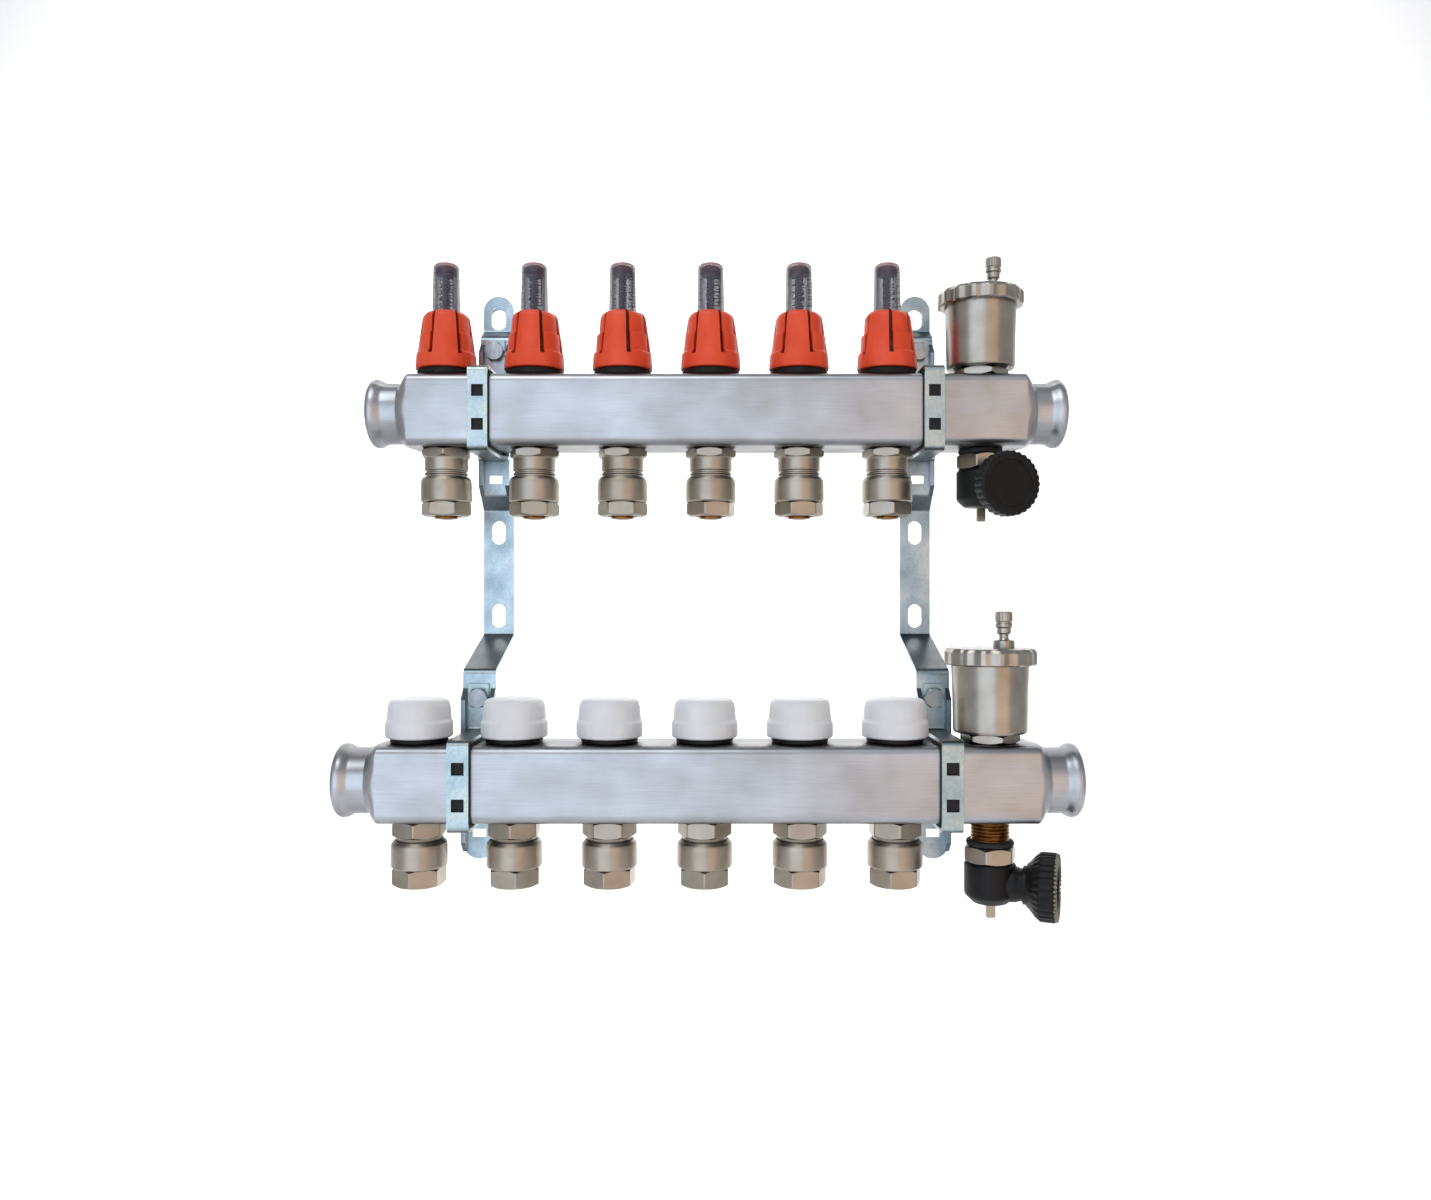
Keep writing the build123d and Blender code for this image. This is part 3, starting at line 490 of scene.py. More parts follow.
def turned_brass():
    """Bare turned brass: brown-gold, with tool rings and a darker tarnish in patches."""
    material, tree, coat = surface("tarnished_turned_brass", Metallic=1.0)
    rings = noise(tree, stretched(tree, (0.05, 0.05, 1)), 0.3, 2.0)
    tarnish = noise(tree, stretched(tree), 5.0, 4.0)
    tree.links.new(ramp(tree, tarnish, [(0.3, "#5A3B1A"), (0.5, "#8A6230"), (0.75, "#B08A4C")]),
                   coat.inputs["Base Color"])
    tree.links.new(spread(tree, tarnish, 0.26, 0.42), coat.inputs["Roughness"])
    relief(tree, coat, rings, 0.02, 0.5)
    return material


def moulded(name, tones, rough, grain=0.5, depth=0.012, specular=0.5):
    """Injection-moulded plastic: even colour with slow flow marks and a fine spark-eroded grain."""
    material, tree, coat = surface(name, IOR=1.5)
    coat.inputs["Specular IOR Level"].default_value = specular
    place = stretched(tree)
    flow = noise(tree, stretched(tree, (1, 1, 0.4)), 9.0, 2.0)
    spark = noise(tree, place, grain, 2.0, 0.6)
    tree.links.new(ramp(tree, flow, list(zip((0.3, 0.7), tones))), coat.inputs["Base Color"])
    tree.links.new(spread(tree, spark, *rough), coat.inputs["Roughness"])
    relief(tree, coat, spark, depth, 0.6)
    return material


def slotted_red():
    """Moulded orange-red cap plastic, satin, with painted shade in the slots where the attribute groove says."""
    material, tree, coat = surface("orange_red_cap_plastic", IOR=1.5)
    coat.inputs["Specular IOR Level"].default_value = 0.35
    flow = noise(tree, stretched(tree, (1, 1, 0.4)), 9.0, 2.0)
    spark = noise(tree, stretched(tree), 0.5, 2.0, 0.6)
    groove = add(tree, "ShaderNodeAttribute", {"attribute_name": "groove"}).outputs["Fac"]
    tone = ramp(tree, flow, [(0.3, "#DE4620"), (0.7, "#EA5634")])
    # Painted shade: slot walls marked by groove are mixed towards dark brown.
    tree.links.new(blend(tree, "MIX", groove, tone, hue("#4A1A0C")), coat.inputs["Base Color"])
    tree.links.new(spread(tree, spark, 0.36, 0.5), coat.inputs["Roughness"])
    relief(tree, coat, spark, 0.01, 0.6)
    return material


def clear_plastic():
    """Clear polysulfone tube, grey-violet, red round its tip, denser to the eye at its sides, with
    faint flow lines and handling haze."""
    material, tree, coat = surface("clear_violet_plastic", IOR=1.6)
    haze = noise(tree, stretched(tree, (1, 1, 0.3)), 2.4, 3.0)
    height = add(tree, "ShaderNodeSeparateXYZ", None,
                 Vector=add(tree, "ShaderNodeTexCoord").outputs["Object"]).outputs[2]
    tip = spread(tree, height, 0.0, 1.0, 181.6 * MM, 183.2 * MM)
    clear = ramp(tree, haze, [(0.3, "#4C4B58"), (0.7, "#666571")])
    tree.links.new(blend(tree, "MIX", tip, clear, hue("#8E4248")), coat.inputs["Base Color"])
    tree.links.new(spread(tree, haze, 0.16, 0.3), coat.inputs["Roughness"])
    side = add(tree, "ShaderNodeLayerWeight", None, Blend=0.35).outputs["Facing"]
    dense = spread(tree, side, 0.40, 0.86, 0.05, 0.75)
    tree.links.new(add(tree, "ShaderNodeMath", {"operation": "MAXIMUM"}, i0=dense,
                       i1=spread(tree, tip, 0.0, 0.78, 0.0, 1.0)).outputs[0], coat.inputs["Alpha"])
    relief(tree, coat, noise(tree, stretched(tree), 1.5, 2.0), 0.02, 0.3)
    return material


def rubber():
    """Moulded EPDM rubber: near black, matt and dusty on its raised grain."""
    material, tree, coat = surface("moulded_rubber", Roughness=0.75)
    grain = noise(tree, stretched(tree), 0.4, 3.0)
    tree.links.new(ramp(tree, grain, [(0.3, "#131314"), (0.75, "#2A2A2B")]), coat.inputs["Base Color"])
    relief(tree, coat, grain, 0.03, 0.6)
    return material


def printed_ink():
    """Screen-printed ink on the clear tube: dark blue-black, thin where the screen lifted."""
    material, tree, coat = surface("printed_scale_ink", Roughness=0.5)
    lift = noise(tree, stretched(tree), 0.5, 2.0)
    tree.links.new(ramp(tree, lift, [(0.25, "#1D2030"), (0.8, "#34364A")]), coat.inputs["Base Color"])
    return material


STAINLESS = satin_stainless()
ZINC = zinc_plate("blue_zinc_strip", ("#9FB4BF", "#B9CDD6", "#CEDCE1"))
ZINC_CLAMP = zinc_plate("pale_zinc_strip", ("#AFC5CC", "#C2D4D6", "#D2DCD5"), (0.28, 0.44))
ZINC_BOLT = zinc_plate("zinc_fastener", ("#8E979B", "#B3BCC0", "#C9CDCB"), (0.24, 0.38))
DARK_STEEL = zinc_plate("dark_spring_steel", ("#3C3E46", "#4A4C55", "#5A5C66"), (0.3, 0.45))
NICKEL = nickel_brass("matt_nickel_on_brass", ("#A89F90", "#B2AA9C", "#BBB4A8"), (0.32, 0.44), 0.012)
SILVER_NICKEL = nickel_brass("bright_nickel_on_turned_brass", ("#A8A194", "#B3AEA4", "#BEBAB2"),
                             (0.27, 0.33), 0.002)
BRASS = turned_brass()
INK = printed_ink()
RUBBER = rubber()
GLASS = clear_plastic()
BLACK = moulded("black_polyamide", ("#070808", "#0E0E0F"), (0.42, 0.58), 0.45, 0.02, 0.3)
BLACK_RING = moulded("brown_black_polyamide", ("#120D0D", "#1F1818"), (0.42, 0.6), 0.45, 0.02, 0.3)
PALE_GREY = moulded("pale_grey_polyamide", ("#6E685C", "#A9A294"), (0.5, 0.7), 0.8, 0.03, 0.3)
RED = slotted_red()
WHITE = moulded("white_cap_plastic", ("#DADCDE", "#E2E4E5"), (0.36, 0.52), 0.5, 0.01, 0.4)
INDICATOR = moulded("red_indicator_plastic", ("#8E2F3C", "#A63A48"), (0.3, 0.45))
FLOAT = moulded("pale_float_plastic", ("#CFC9B8", "#DDD8CA"), (0.4, 0.55))
FINISHES = {
    "stainless": STAINLESS, "zinc": ZINC, "zinc_fastener": ZINC_BOLT, "nickel": NICKEL, "brass": BRASS,
    "black_plastic": BLACK, "red_plastic": RED, "white_plastic": WHITE, "clear_plastic": GLASS,
    "indicator_plastic": INDICATOR, "float_plastic": FLOAT, "rubber": RUBBER,
}
NODE_FINISH = {"bar_clamps": ZINC_CLAMP}
OUTLET_ROW = row_tree()
RIB_RING = ring_tree()

# Bars


def bored(bm, ports):
    """Mesh of a bar with round ports cut through its wall: each has its place along X and its radius,
    above and below."""
    drills = bmesh.new()
    for x, radius in ports:
        for side in (-HALF_BAR, HALF_BAR):
            bmesh.ops.create_cone(drills, cap_ends=True, segments=48, radius1=radius, radius2=radius, depth=12,
                                  matrix=Matrix.Translation((x, 0, side)))
    bmesh.ops.recalc_face_normals(bm, faces=bm.faces)
    blank, drill = pattern_piece(bm), pattern_piece(drills)
    cut = blank.modifiers.new("ports", "BOOLEAN")
    cut.object = drill
    mesh = bpy.data.meshes.new_from_object(blank.evaluated_get(bpy.context.evaluated_depsgraph_get()))
    for used in (blank, drill):
        bpy.data.objects.remove(used)
    return mesh


for bar, left, right, y, z, first in (("supply", -189, 200.5, SUPPLY_Y, SUPPLY_Z, SUPPLY_X),
                                      ("return", -192, 194.5, RETURN_Y, RETURN_Z, RETURN_X)):
    bm = bmesh.new()
    square_bar(bm, left, right)
    tube = bored(bm, [(first + i * PITCH, OUTLET_PORT) for i in range(OUTLETS)] + [(VENTS[bar][0], VENT_PORT)])
    finish_piece(f"{bar}_bar_tube", tube, STAINLESS, "manifold", "stainless", (f"{bar}_bar",), soft=40,
                 place=Matrix.Translation((0, y, z)))

# Outlets


def outlet_nipple(hex_height, neck):
    """Hexagon against the bar and the plain neck below it, with thread turns near the nut."""
    bm = bmesh.new()
    low = -HALF_BAR - hex_height
    hexagon(bm, 25.0, low, -HALF_BAR, bore=7.5)
    end = low - neck
    corners = [(7.5, low + 0.4, 0), (12.4, low + 0.4, 0), (12.0, low - 0.6, 0.5)]
    if neck > 5:
        corners += [(12.0, end + 3.6, 0.3), (11.2, end + 3.2, 0.2), (11.2, end + 2.4, 0.2), (12.0, end + 2.0, 0.2),
                    (12.0, end + 1.3, 0.2), (11.3, end + 0.9, 0.2)]
    corners += [(11.3, end - 2, 0), (7.5, end - 2, 0)]
    lathe(bm, rounded(corners, 3), around(48))
    seat = [(7.5, -14, 0), (10.6, -14, 0.5), (11.0, -15, 0), (11.0, -HALF_BAR - 0.3, 0), (7.5, -HALF_BAR - 0.3, 0)]
    lathe(bm, rounded(seat, 3), around(48))
    return bm


def compression_nut(top, radius, hex_height):
    """Turned collar with a rounded shoulder, a shallow groove, and the hexagon below it."""
    bm = bmesh.new()
    low = top - 14.4
    end = low - hex_height
    collar = [(12.1, top, 0), (12.7, top, 0.3), (radius - 0.2, top - 1.9, 1.6), (radius, top - 4, 0.5),
              (radius, low + 0.8, 0.5), (radius - 0.7, low, 0.3), (8.2, low, 0), (8.2, low + 2, 0),
              (12.1, low + 4, 0)]
    lathe(bm, rounded(collar), around(72))
    hexagon(bm, 24.6, end, low + 0.3, bore=8.2, ends=0.97)
    return bm


SUPPLY_NUT_TOP, RETURN_NUT_TOP = -35.9, -30.7
along("supply", outlet_nipple(5.4, 10.5), "supply_outlet_nipples", NICKEL, "nickel", 0.5, 3,
      replaces=("supply_nipples",), bevel=0.15)
along("return", outlet_nipple(9.1, 1.6), "return_outlet_nipples", NICKEL, "nickel", 0.6, 5,
      replaces=("return_nipples",), bevel=0.15)
along("supply", compression_nut(SUPPLY_NUT_TOP, 14.15, 7.8), "supply_compression_nuts", NICKEL, "nickel", 1.0, 8,
      replaces=("supply_nuts",), bevel=0.15)
along("return", compression_nut(RETURN_NUT_TOP, 14.5, 9.6), "return_compression_nuts", NICKEL, "nickel", 1.0, 12,
      replaces=("return_nuts",), bevel=0.15)

# Flow meters

CAP_LOW = 24.4
GLASS_TOP = 85.1
SPRING_LOW, SPRING_TOP, INDICATOR_TRAVEL = 44.8, 77.9, 20.0
CAP_PHASES = (41.0, 25.0, 17.0, 25.0, 22.0, 0.0)


def meter_ring():
    """Black setting ring with a fine knurl, and its sleeve up inside the cap."""
    bm = bmesh.new()
    ring = [(10.3, 21.3, 0), (14.8, 21.3, 0), (14.8, 20.35, 0), (15.5, 20.35, 0.2), (15.75, 20.7, 0.2),
            (15.75, 23.7, 0.2), (15.3, 24.1, 0.2), (12.6, 24.1, 0), (12.6, 38, 0), (10.3, 38, 0)]
    lathe(bm, rounded(ring, 2), around(72))
    rib = bmesh.new()
    bmesh.ops.create_cube(rib, size=1.0, matrix=Matrix.Translation((0, 0, 22.2))
                          @ Matrix.Diagonal((0.8, 0.7, 2.6, 1)))
    bmesh.ops.bevel(rib, geom=rib.edges, offset=0.18, segments=1, affect="EDGES")
    bm.from_mesh(ribs(rib, 60, 15.65))
    return bm


def lock_cap(phase):
    """Conical cap with six deep slots between three smooth panels and three stepped ones, over a plain
    skirt. The walls of the slots carry the attribute groove, which marks where painted shade goes."""
    foot = 31.8
    stepped = [(16.6, foot), (16.6, foot + 0.25), (16.5, 33.2), (16.1, 33.8), (15.2, 34.1), (14.6, 43.4),
               (14.2, 44.1), (13.2, 44.5), (12.7, 52.8), (12.4, 54.3), (11.7, 55.7), (10.6, 56.5), (9.4, 56.8),
               (8.1, 56.8)]
    smooth = [(16.6, foot), (16.6, foot + 0.25), (16.35, 33.2), (16.2, 33.8), (16.1, 34.1), (14.8, 43.4),
              (14.7, 44.1), (14.6, 44.5), (13.4, 52.8), (13.1, 54.3), (12.4, 55.7), (11.3, 56.6), (10.0, 56.9),
              (8.1, 56.9)]
    skirt = [(12.9, CAP_LOW), (16.3, CAP_LOW), (16.8, CAP_LOW + 0.3), (17.0, CAP_LOW + 0.9), (17.0, CAP_LOW + 1.8)]
    hollow = [(8.1, 50.5), (10.4, 49), (10.4, 40.5), (12.9, 39)]
    profile = skirt + stepped + hollow
    first, last = len(skirt), len(skirt) + len(stepped)
    half = 1.0 / 15.0
    angles, kinds = [], []
    for s in range(6):
        middle = math.radians(60 * s + phase - 90)
        span = math.pi / 3 - 2 * (half + 0.014)
        for d in (-half, 0, half):
            angles.append(middle + d)
            kinds.append("slot")
        for k in range(11):
            angles.append(middle + half + 0.014 + span * k / 10)
            kinds.append("smooth" if s % 2 else "stepped")
    by_angle = dict(zip(angles, kinds))

    def skin(a, r, z, row):
        if not first <= row < last:
            return r, z
        kind = by_angle[a]
        r, z = (stepped if kind == "stepped" else smooth)[row - first]
        if kind == "slot":
            if row == first:
                return r, z
            return min(r, 13.5 if z < 39 else 11.0 + max(0, 41.5 - z)), z
        return r, z

    bm = bmesh.new()
    lathe(bm, profile, angles, skin)
    # groove marks the slot walls that the red cap material darkens as painted shade.
    groove = bm.verts.layers.float.new("groove")
    for v in bm.verts:
        r = math.hypot(v.co.x, v.co.y)
        turn = math.atan2(v.co.y, v.co.x) - math.radians(phase - 90)
        turn = (turn + math.pi / 6) % (math.pi / 3) - math.pi / 6
        v[groove] = 1.0 if abs(turn) < half + 0.004 and foot + 0.1 < v.co.z and r > 10.6 else 0.0
    return bm


def glass_tube():
    """Clear tube with a softly domed top and a foot collar."""
    bm = bmesh.new()
    outer = [(6.2, 44, 0), (9.4, 44, 0.3), (9.4, 48, 0.3), (7.8, 48, 0.2), (7.8, 57, 0), (7.25, GLASS_TOP - 0.6, 2.6),
             (4.0, GLASS_TOP, 3.0), (0, GLASS_TOP, 0)]
    inner = [(0, GLASS_TOP - 1.6, 0), (4.6, GLASS_TOP - 1.6, 1.5), (6.1, GLASS_TOP - 3.0, 1.2), (6.2, 60, 0)]
    profile = rounded(outer) + rounded(inner, 3)
    lathe(bm, profile, around(56))
    return bm


def indicator():
    """Float disc on its rod."""
    bm = bmesh.new()
    top = 82.5
    stem = [(0, 25, 0), (1.2, 25, 0.2), (1.2, 78.5, 0), (5.9, 78.5, 0.4), (5.9, top, 1.0), (0, top, 0)]
    lathe(bm, rounded(stem, 3), around(32), closed=False)
    return bm


def spring(low, high, turns, radius, wire):
    """Coil spring between two heights."""
    bm = bmesh.new()
    per, sides = 16, 6
    rings = []
    for k in range(turns * per + 1):
        a = 2 * math.pi * k / per
        centre = Vector((radius * math.cos(a), radius * math.sin(a), low + (high - low) * k / (turns * per)))
        out = Vector((math.cos(a), math.sin(a), 0))
        rings.append([bm.verts.new(centre + out * (wire * math.cos(q)) + Vector((0, 0, wire * math.sin(q))))
                      for q in around(sides)])
    for low_ring, high_ring in zip(rings, rings[1:]):
        for q in range(sides):
            n = (q + 1) % sides
            bm.faces.new((low_ring[q], low_ring[n], high_ring[n], high_ring[q]))
    bm.faces.new(rings[0])
    bm.faces.new(rings[-1])
    return bm


def tube_skin(z):
    """Radius of the outside of the tube at a height."""
    return 7.8 - 0.55 * (z - 57) / 27.5


def scale_marks():
    """Printed scale on the tube: a ladder of ticks, with numbers beside the long ones."""
    bm = bmesh.new()

    def patch(a0, a1, z0, z1):
        steps = max(1, round(abs(a1 - a0) / math.radians(6)))
        rows = []
        for k in range(steps + 1):
            a = a0 + (a1 - a0) * k / steps
            rows.append([bm.verts.new((r * math.cos(a), r * math.sin(a), z))
                         for r, z in ((tube_skin(z0) + 0.05, z0), (tube_skin(z1) + 0.05, z1),
                                      (tube_skin(z1) - 0.07, z1), (tube_skin(z0) - 0.07, z0))])
        for one, two in zip(rows, rows[1:]):
            for q in range(4):
                bm.faces.new((one[q], one[(q + 1) % 4], two[(q + 1) % 4], two[q]))
        bm.faces.new(rows[0])
        bm.faces.new(rows[-1])

    front = math.radians(-90)
    for k in range(6):
        z = 59.6 + 3.8 * k
        patch(front + math.radians(4), front + math.radians(34), z, z + 0.55)
        patch(front - math.radians(64), front - math.radians(50), z, z + 0.5)
        if k < 5:
            patch(front + math.radians(16), front + math.radians(34), z + 1.75, z + 2.2)
    patch(front + math.radians(34), front + math.radians(38), 59.6, 79.15)
    return bm


def scale_numbers():
    """The numbers of the scale, 0 at the top of the tube to 5 at its foot, wrapped round it."""
    bm = bmesh.new()
    for k in range(6):
        curve = bpy.data.curves.new("figure", "FONT")
        curve.body = str(5 - k)
        curve.size = 4.0
        curve.offset = 0.06
        curve.extrude = 0.05
        curve.resolution_u = 2
        holder = bpy.data.objects.new("figure", curve)
        bpy.context.scene.collection.objects.link(holder)
        evaluated = holder.evaluated_get(bpy.context.evaluated_depsgraph_get())
        mesh = bpy.data.meshes.new_from_object(evaluated)
        bpy.data.objects.remove(holder)
        figure = bmesh.new()
        figure.from_mesh(mesh)
        for v in figure.verts:
            a = math.radians(-90 - 24) + v.co.x / 7.6
            r = tube_skin(v.co.y + 58.2 + 3.8 * k) + v.co.z
            v.co = Vector((r * math.cos(a), r * math.sin(a), 58.2 + 3.8 * k + v.co.y))
        figure.to_mesh(mesh)
        figure.free()
        bm.from_mesh(mesh)
    return bm


along("supply", glass_tube(), "sight_tubes", GLASS, "clear_plastic", replaces=("sight_glasses",))
along("supply", scale_marks(), "scale_ticks", INK, "black_plastic", 0.7, 4)
along("supply", scale_numbers(), "scale_figures", INK, "black_plastic", 0.7, 4)
for i in range(OUTLETS):
    n = i + 1
    at = Matrix.Translation((SUPPLY_X + i * PITCH, SUPPLY_Y, SUPPLY_Z))
    finish_piece(f"knurled_ring_{n}", meter_ring(), BLACK_RING, f"setting_ring_{n}", "black_plastic",
                 (f"setting_ring_{n}",), place=at)
    finish_piece(f"red_cap_{n}", lock_cap(CAP_PHASES[i]), RED, f"lock_cap_{n}", "red_plastic",
                 (f"lock_cap_{n}",), soft=38, place=at)
    finish_piece(f"indicator_{n}", indicator(), INDICATOR, f"flow_indicator_{n}", "indicator_plastic",
                 (f"flow_indicator_{n}",), place=at)
    coil = finish_piece(f"meter_spring_{n}", spring(SPRING_LOW, SPRING_TOP, 22, 2.0, 0.5), DARK_STEEL, "manifold",
                        "zinc_fastener", place=at)
    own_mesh(coil)

# Valves


def collar_with_thread():
    """Black collar with the coarse thread that the hand cap turns on."""
    bm = bmesh.new()
    corners = [(10.05, 20, 0), (14.3, 20, 0.3), (14.9, 20.6, 0.3), (14.9, 23.2, 0.2)]
    for k in range(3):
        z = 23.6 + 1.7 * k
        corners += [(14.0, z, 0.15), (14.0, z + 0.5, 0.15), (14.8, z + 0.9, 0.15), (14.8, z + 1.3, 0.15)]
    corners += [(13.8, 29.5, 0.3), (10.05, 29.5, 0)]
    lathe(bm, rounded(corners, 2), around(64))
    return bm


def hand_cap():
    """White hand cap: grip band with faint flutes, a step, and the crown with its soft edge."""
    corners = [(15.2, 22.9, 0), (16.7, 22.9, 0.4), (17.4, 23.6, 0.5), (17.4, 30.6, 1.6), (16.5, 32.4, 1.0),
               (16.0, 39.0, 2.0), (14.9, 42.6, 3.0), (10.0, 43.4, 4.0), (0, 43.4, 0)]
    profile = rounded(corners) + [(0, 41.1), (11.5, 41.1), (11.5, 34), (15.2, 31.5)]

    def skin(a, r, z, row):
        if 23.4 < z < 33 and r > 15.4:
            wave = 0.5 + 0.5 * math.cos(a * 24)
            return r - 0.06 * wave, z
        return r, z

    bm = bmesh.new()
    lathe(bm, profile, around(144), skin, closed=True)
    return bm


along("return", collar_with_thread(), "threaded_collars", BLACK, "black_plastic", replaces=("valve_collars",))
for i in range(OUTLETS):
    n = i + 1
    at = Matrix.Translation((RETURN_X + i * PITCH, RETURN_Y, RETURN_Z))
    finish_piece(f"hand_cap_{n}", hand_cap(), WHITE, f"valve_cap_{n}", "white_plastic", (f"valve_cap_{n}",), place=at)

# Air vents

LID_LOW, LID_TOP = 60.6, 69.6
SPIGOT_X = 7.3


def vent_cup():
    """Turned float chamber on its hexagon, with a short stem into the bar."""
    bm = bmesh.new()
    hexagon(bm, 27.0, HALF_BAR, 25.3, bore=4.5, place=Matrix.Rotation(math.radians(10), 4, "Z"))
    cup = [(4.5, 25, 0), (16.5, 25, 0), (18.6, 25.3, 0.6), (19.1, 26.6, 0.8), (19.4, 45, 0), (19.9, 58, 0),
           (19.9, 67, 0), (17, 67, 0), (17, 28, 0), (4.5, 28, 0)]
    lathe(bm, rounded(cup), around(96))
    stem = [(4.5, 13), (9, 13), (9, HALF_BAR + 0.3), (4.5, HALF_BAR + 0.3)]
    lathe(bm, stem, around(40))
    return bm


def vent_lid():
    """Screw lid with sixteen shallow flutes and a soft top edge, and its off-centre spigot."""
    corners = [(19.95, LID_LOW, 0), (23.2, LID_LOW, 0.4), (24.0, LID_LOW + 0.7, 0.4), (24.0, LID_TOP - 2.2, 1.0),
               (22.6, LID_TOP - 0.3, 1.4), (20.0, LID_TOP, 1.0), (0, LID_TOP, 0)]
    profile = rounded(corners, 4) + [(0, 67.05), (19.95, 67.05)]

    def skin(a, r, z, row):
        if r < 21.5:
            return r, z
        sector = (a * 16 / (2 * math.pi)) % 1.0 - 0.5
        hollow = max(0.0, 1 - (sector / 0.36) ** 2)
        return r - 0.95 * hollow * min(1.0, (r - 21.5) / 1.6), z

    bm = bmesh.new()
    lathe(bm, profile, around(192), skin, closed=True)
    spigot = [(0, LID_TOP - 0.3, 0), (5.6, LID_TOP - 0.3, 0), (5.6, LID_TOP + 3.4, 0.5), (5.0, LID_TOP + 4.0, 0.3),
              (3.0, LID_TOP + 4.0, 0.3), (2.5, LID_TOP + 5.0, 0.3), (2.5, LID_TOP + 15, 0.5), (0, LID_TOP + 15, 0)]
    lathe(bm, rounded(spigot, 3), around(40), closed=False, place=Matrix.Translation((SPIGOT_X, 0, 0)))
    return bm


def vent_screw_cap():
    """Small screw cap: knurled head, a bright groove under it, and a narrower foot."""
    corners = [(2.6, 76.6, 0), (3.4, 76.6, 0.3), (3.7, 77.4, 0.3), (3.7, 79.9, 0.3), (4.4, 80.4, 0.3),
               (4.5, 82.1, 0.3), (4.1, 82.4, 0.2), (4.1, 83.2, 0.2), (4.5, 83.5, 0.2), (4.5, 88.0, 0.5),
               (3.9, 88.6, 0.3), (0, 88.6, 0)]
    profile = rounded(corners, 3) + [(0, 86.8), (2.6, 86.8)]

    def skin(a, r, z, row):
        if r > 4.2 and z > 83:
            return r - 0.16 * (0.5 + 0.5 * math.cos(a * 24)), z
        return r, z

    bm = bmesh.new()
    lathe(bm, profile, around(96), skin, closed=True, place=Matrix.Translation((SPIGOT_X, 0, 0)))
    return bm


def both_vents(maker, name, node):
    """The same piece on the vents of both bars as one mesh."""
    bm = bmesh.new()
    for x, y, z in VENTS.values():
        one = maker()
        bmesh.ops.transform(one, matrix=Matrix.Translation((x, y, z)), verts=one.verts)
        mesh = bpy.data.meshes.new("one")
        one.to_mesh(mesh)
        one.free()
        bm.from_mesh(mesh)
    finish_piece(name, bm, SILVER_NICKEL, "manifold", "nickel", (node,), bevel=0.12)


both_vents(vent_cup, "vent_float_chambers", "vent_bodies")
both_vents(vent_lid, "vent_fluted_lids", "vent_lids")
for bar, (x, y, z) in VENTS.items():
    finish_piece(f"{bar}_vent_screw_cap", vent_screw_cap(), SILVER_NICKEL, f"{bar}_vent_cap", "nickel",
                 (f"{bar}_vent_cap",), place=Matrix.Translation((x, y, z)))

# Drain valves

# For each bar, how far its drain valve is screwed out and where its hose spigot points, in degrees
DRAINS = {"supply": (0.0, -75.0), "return": (11.0, -22.0)}
BRANCH_DEPTH = 22.5
DRAIN_THREAD_PITCH = 1.8


def drain_metal(drop):
    """Threaded stem, hexagon and post of a drain valve."""
    bm = bmesh.new()
    face = -HALF_BAR - drop
    hexagon(bm, 24.4, face - 11.7, face - 3.0, bore=4.5, place=Matrix.Rotation(math.radians(38), 4, "Z"))
    post = [(3.05, face - 28.9, 0), (7.0, face - 28.9, 0.3), (7.0, face - 11.3, 0), (3.05, face - 11.3, 0)]
    lathe(bm, rounded(post, 2), around(40))
    return bm


def drain_thread(drop):
    """Bare brass thread of a drain valve, its turns drawn as rings."""
    bm = bmesh.new()
    face = -HALF_BAR - drop
    corners = [(4.5, face - 3.2, 0), (9.0, face - 3.2, 0), (9.0, face - 0.4, 0.2)]
    z = face
    while z < face + 14:
        corners += [(10.0, z, 0.15), (10.0, z + 0.35, 0.15), (9.1, z + 1.1, 0.1), (9.1, z + 1.25, 0.1)]
        z += DRAIN_THREAD_PITCH
    corners += [(9.2, face + 15.4, 0.2), (8.6, face + 16, 0), (4.5, face + 16, 0)]
    lathe(bm, rounded(corners, 2), around(56))
    return bm


def rubber_ring(drop):
    """Sealing ring above the hexagon of a drain valve."""
    bm = bmesh.new()
    face = -HALF_BAR - drop
    corners = [(10.05, face - 3, 0), (12.3, face - 3, 1.2), (12.3, face, 1.2), (10.05, face, 0)]
    lathe(bm, rounded(corners, 4), around(56))
    return bm


def outward(height, azimuth):
    """Place of a piece that is turned about its own axis and points out from the drain valve."""
    return (Matrix.Rotation(math.radians(azimuth), 4, "Z") @ Matrix.Translation((0, 0, height))
            @ Matrix.Rotation(math.pi / 2, 4, "Y"))


def swivel(drop, azimuth):
    """Moulded elbow: a round body with soft edges, its branch, and the hose spigot."""
    bm = bmesh.new()
    top = -HALF_BAR - drop - 12.0
    low = top - 21.0
    branch = -HALF_BAR - drop - BRANCH_DEPTH
    body = [(7.3, top, 0), (12.6, top, 0.5), (13.4, top - 1.2, 0.8), (13.4, low + 4.2, 3.4), (9.0, low, 2.2),
            (3.3, low, 0), (3.3, low + 3.2, 0), (7.3, low + 3.2, 0)]
    lathe(bm, rounded(body), around(72))
    arm = [(5.5, 6.8, 0), (9.8, 6.8, 0), (9.3, 13.0, 2.0), (8.5, 15.5, 0.5), (8.5, 17.0, 0.2), (10.0, 17.0, 0.2),
           (10.0, 31.0, 0.4), (5.5, 31.0, 0)]
    lathe(bm, rounded(arm, 3), around(48), place=outward(branch, azimuth))
    return bm


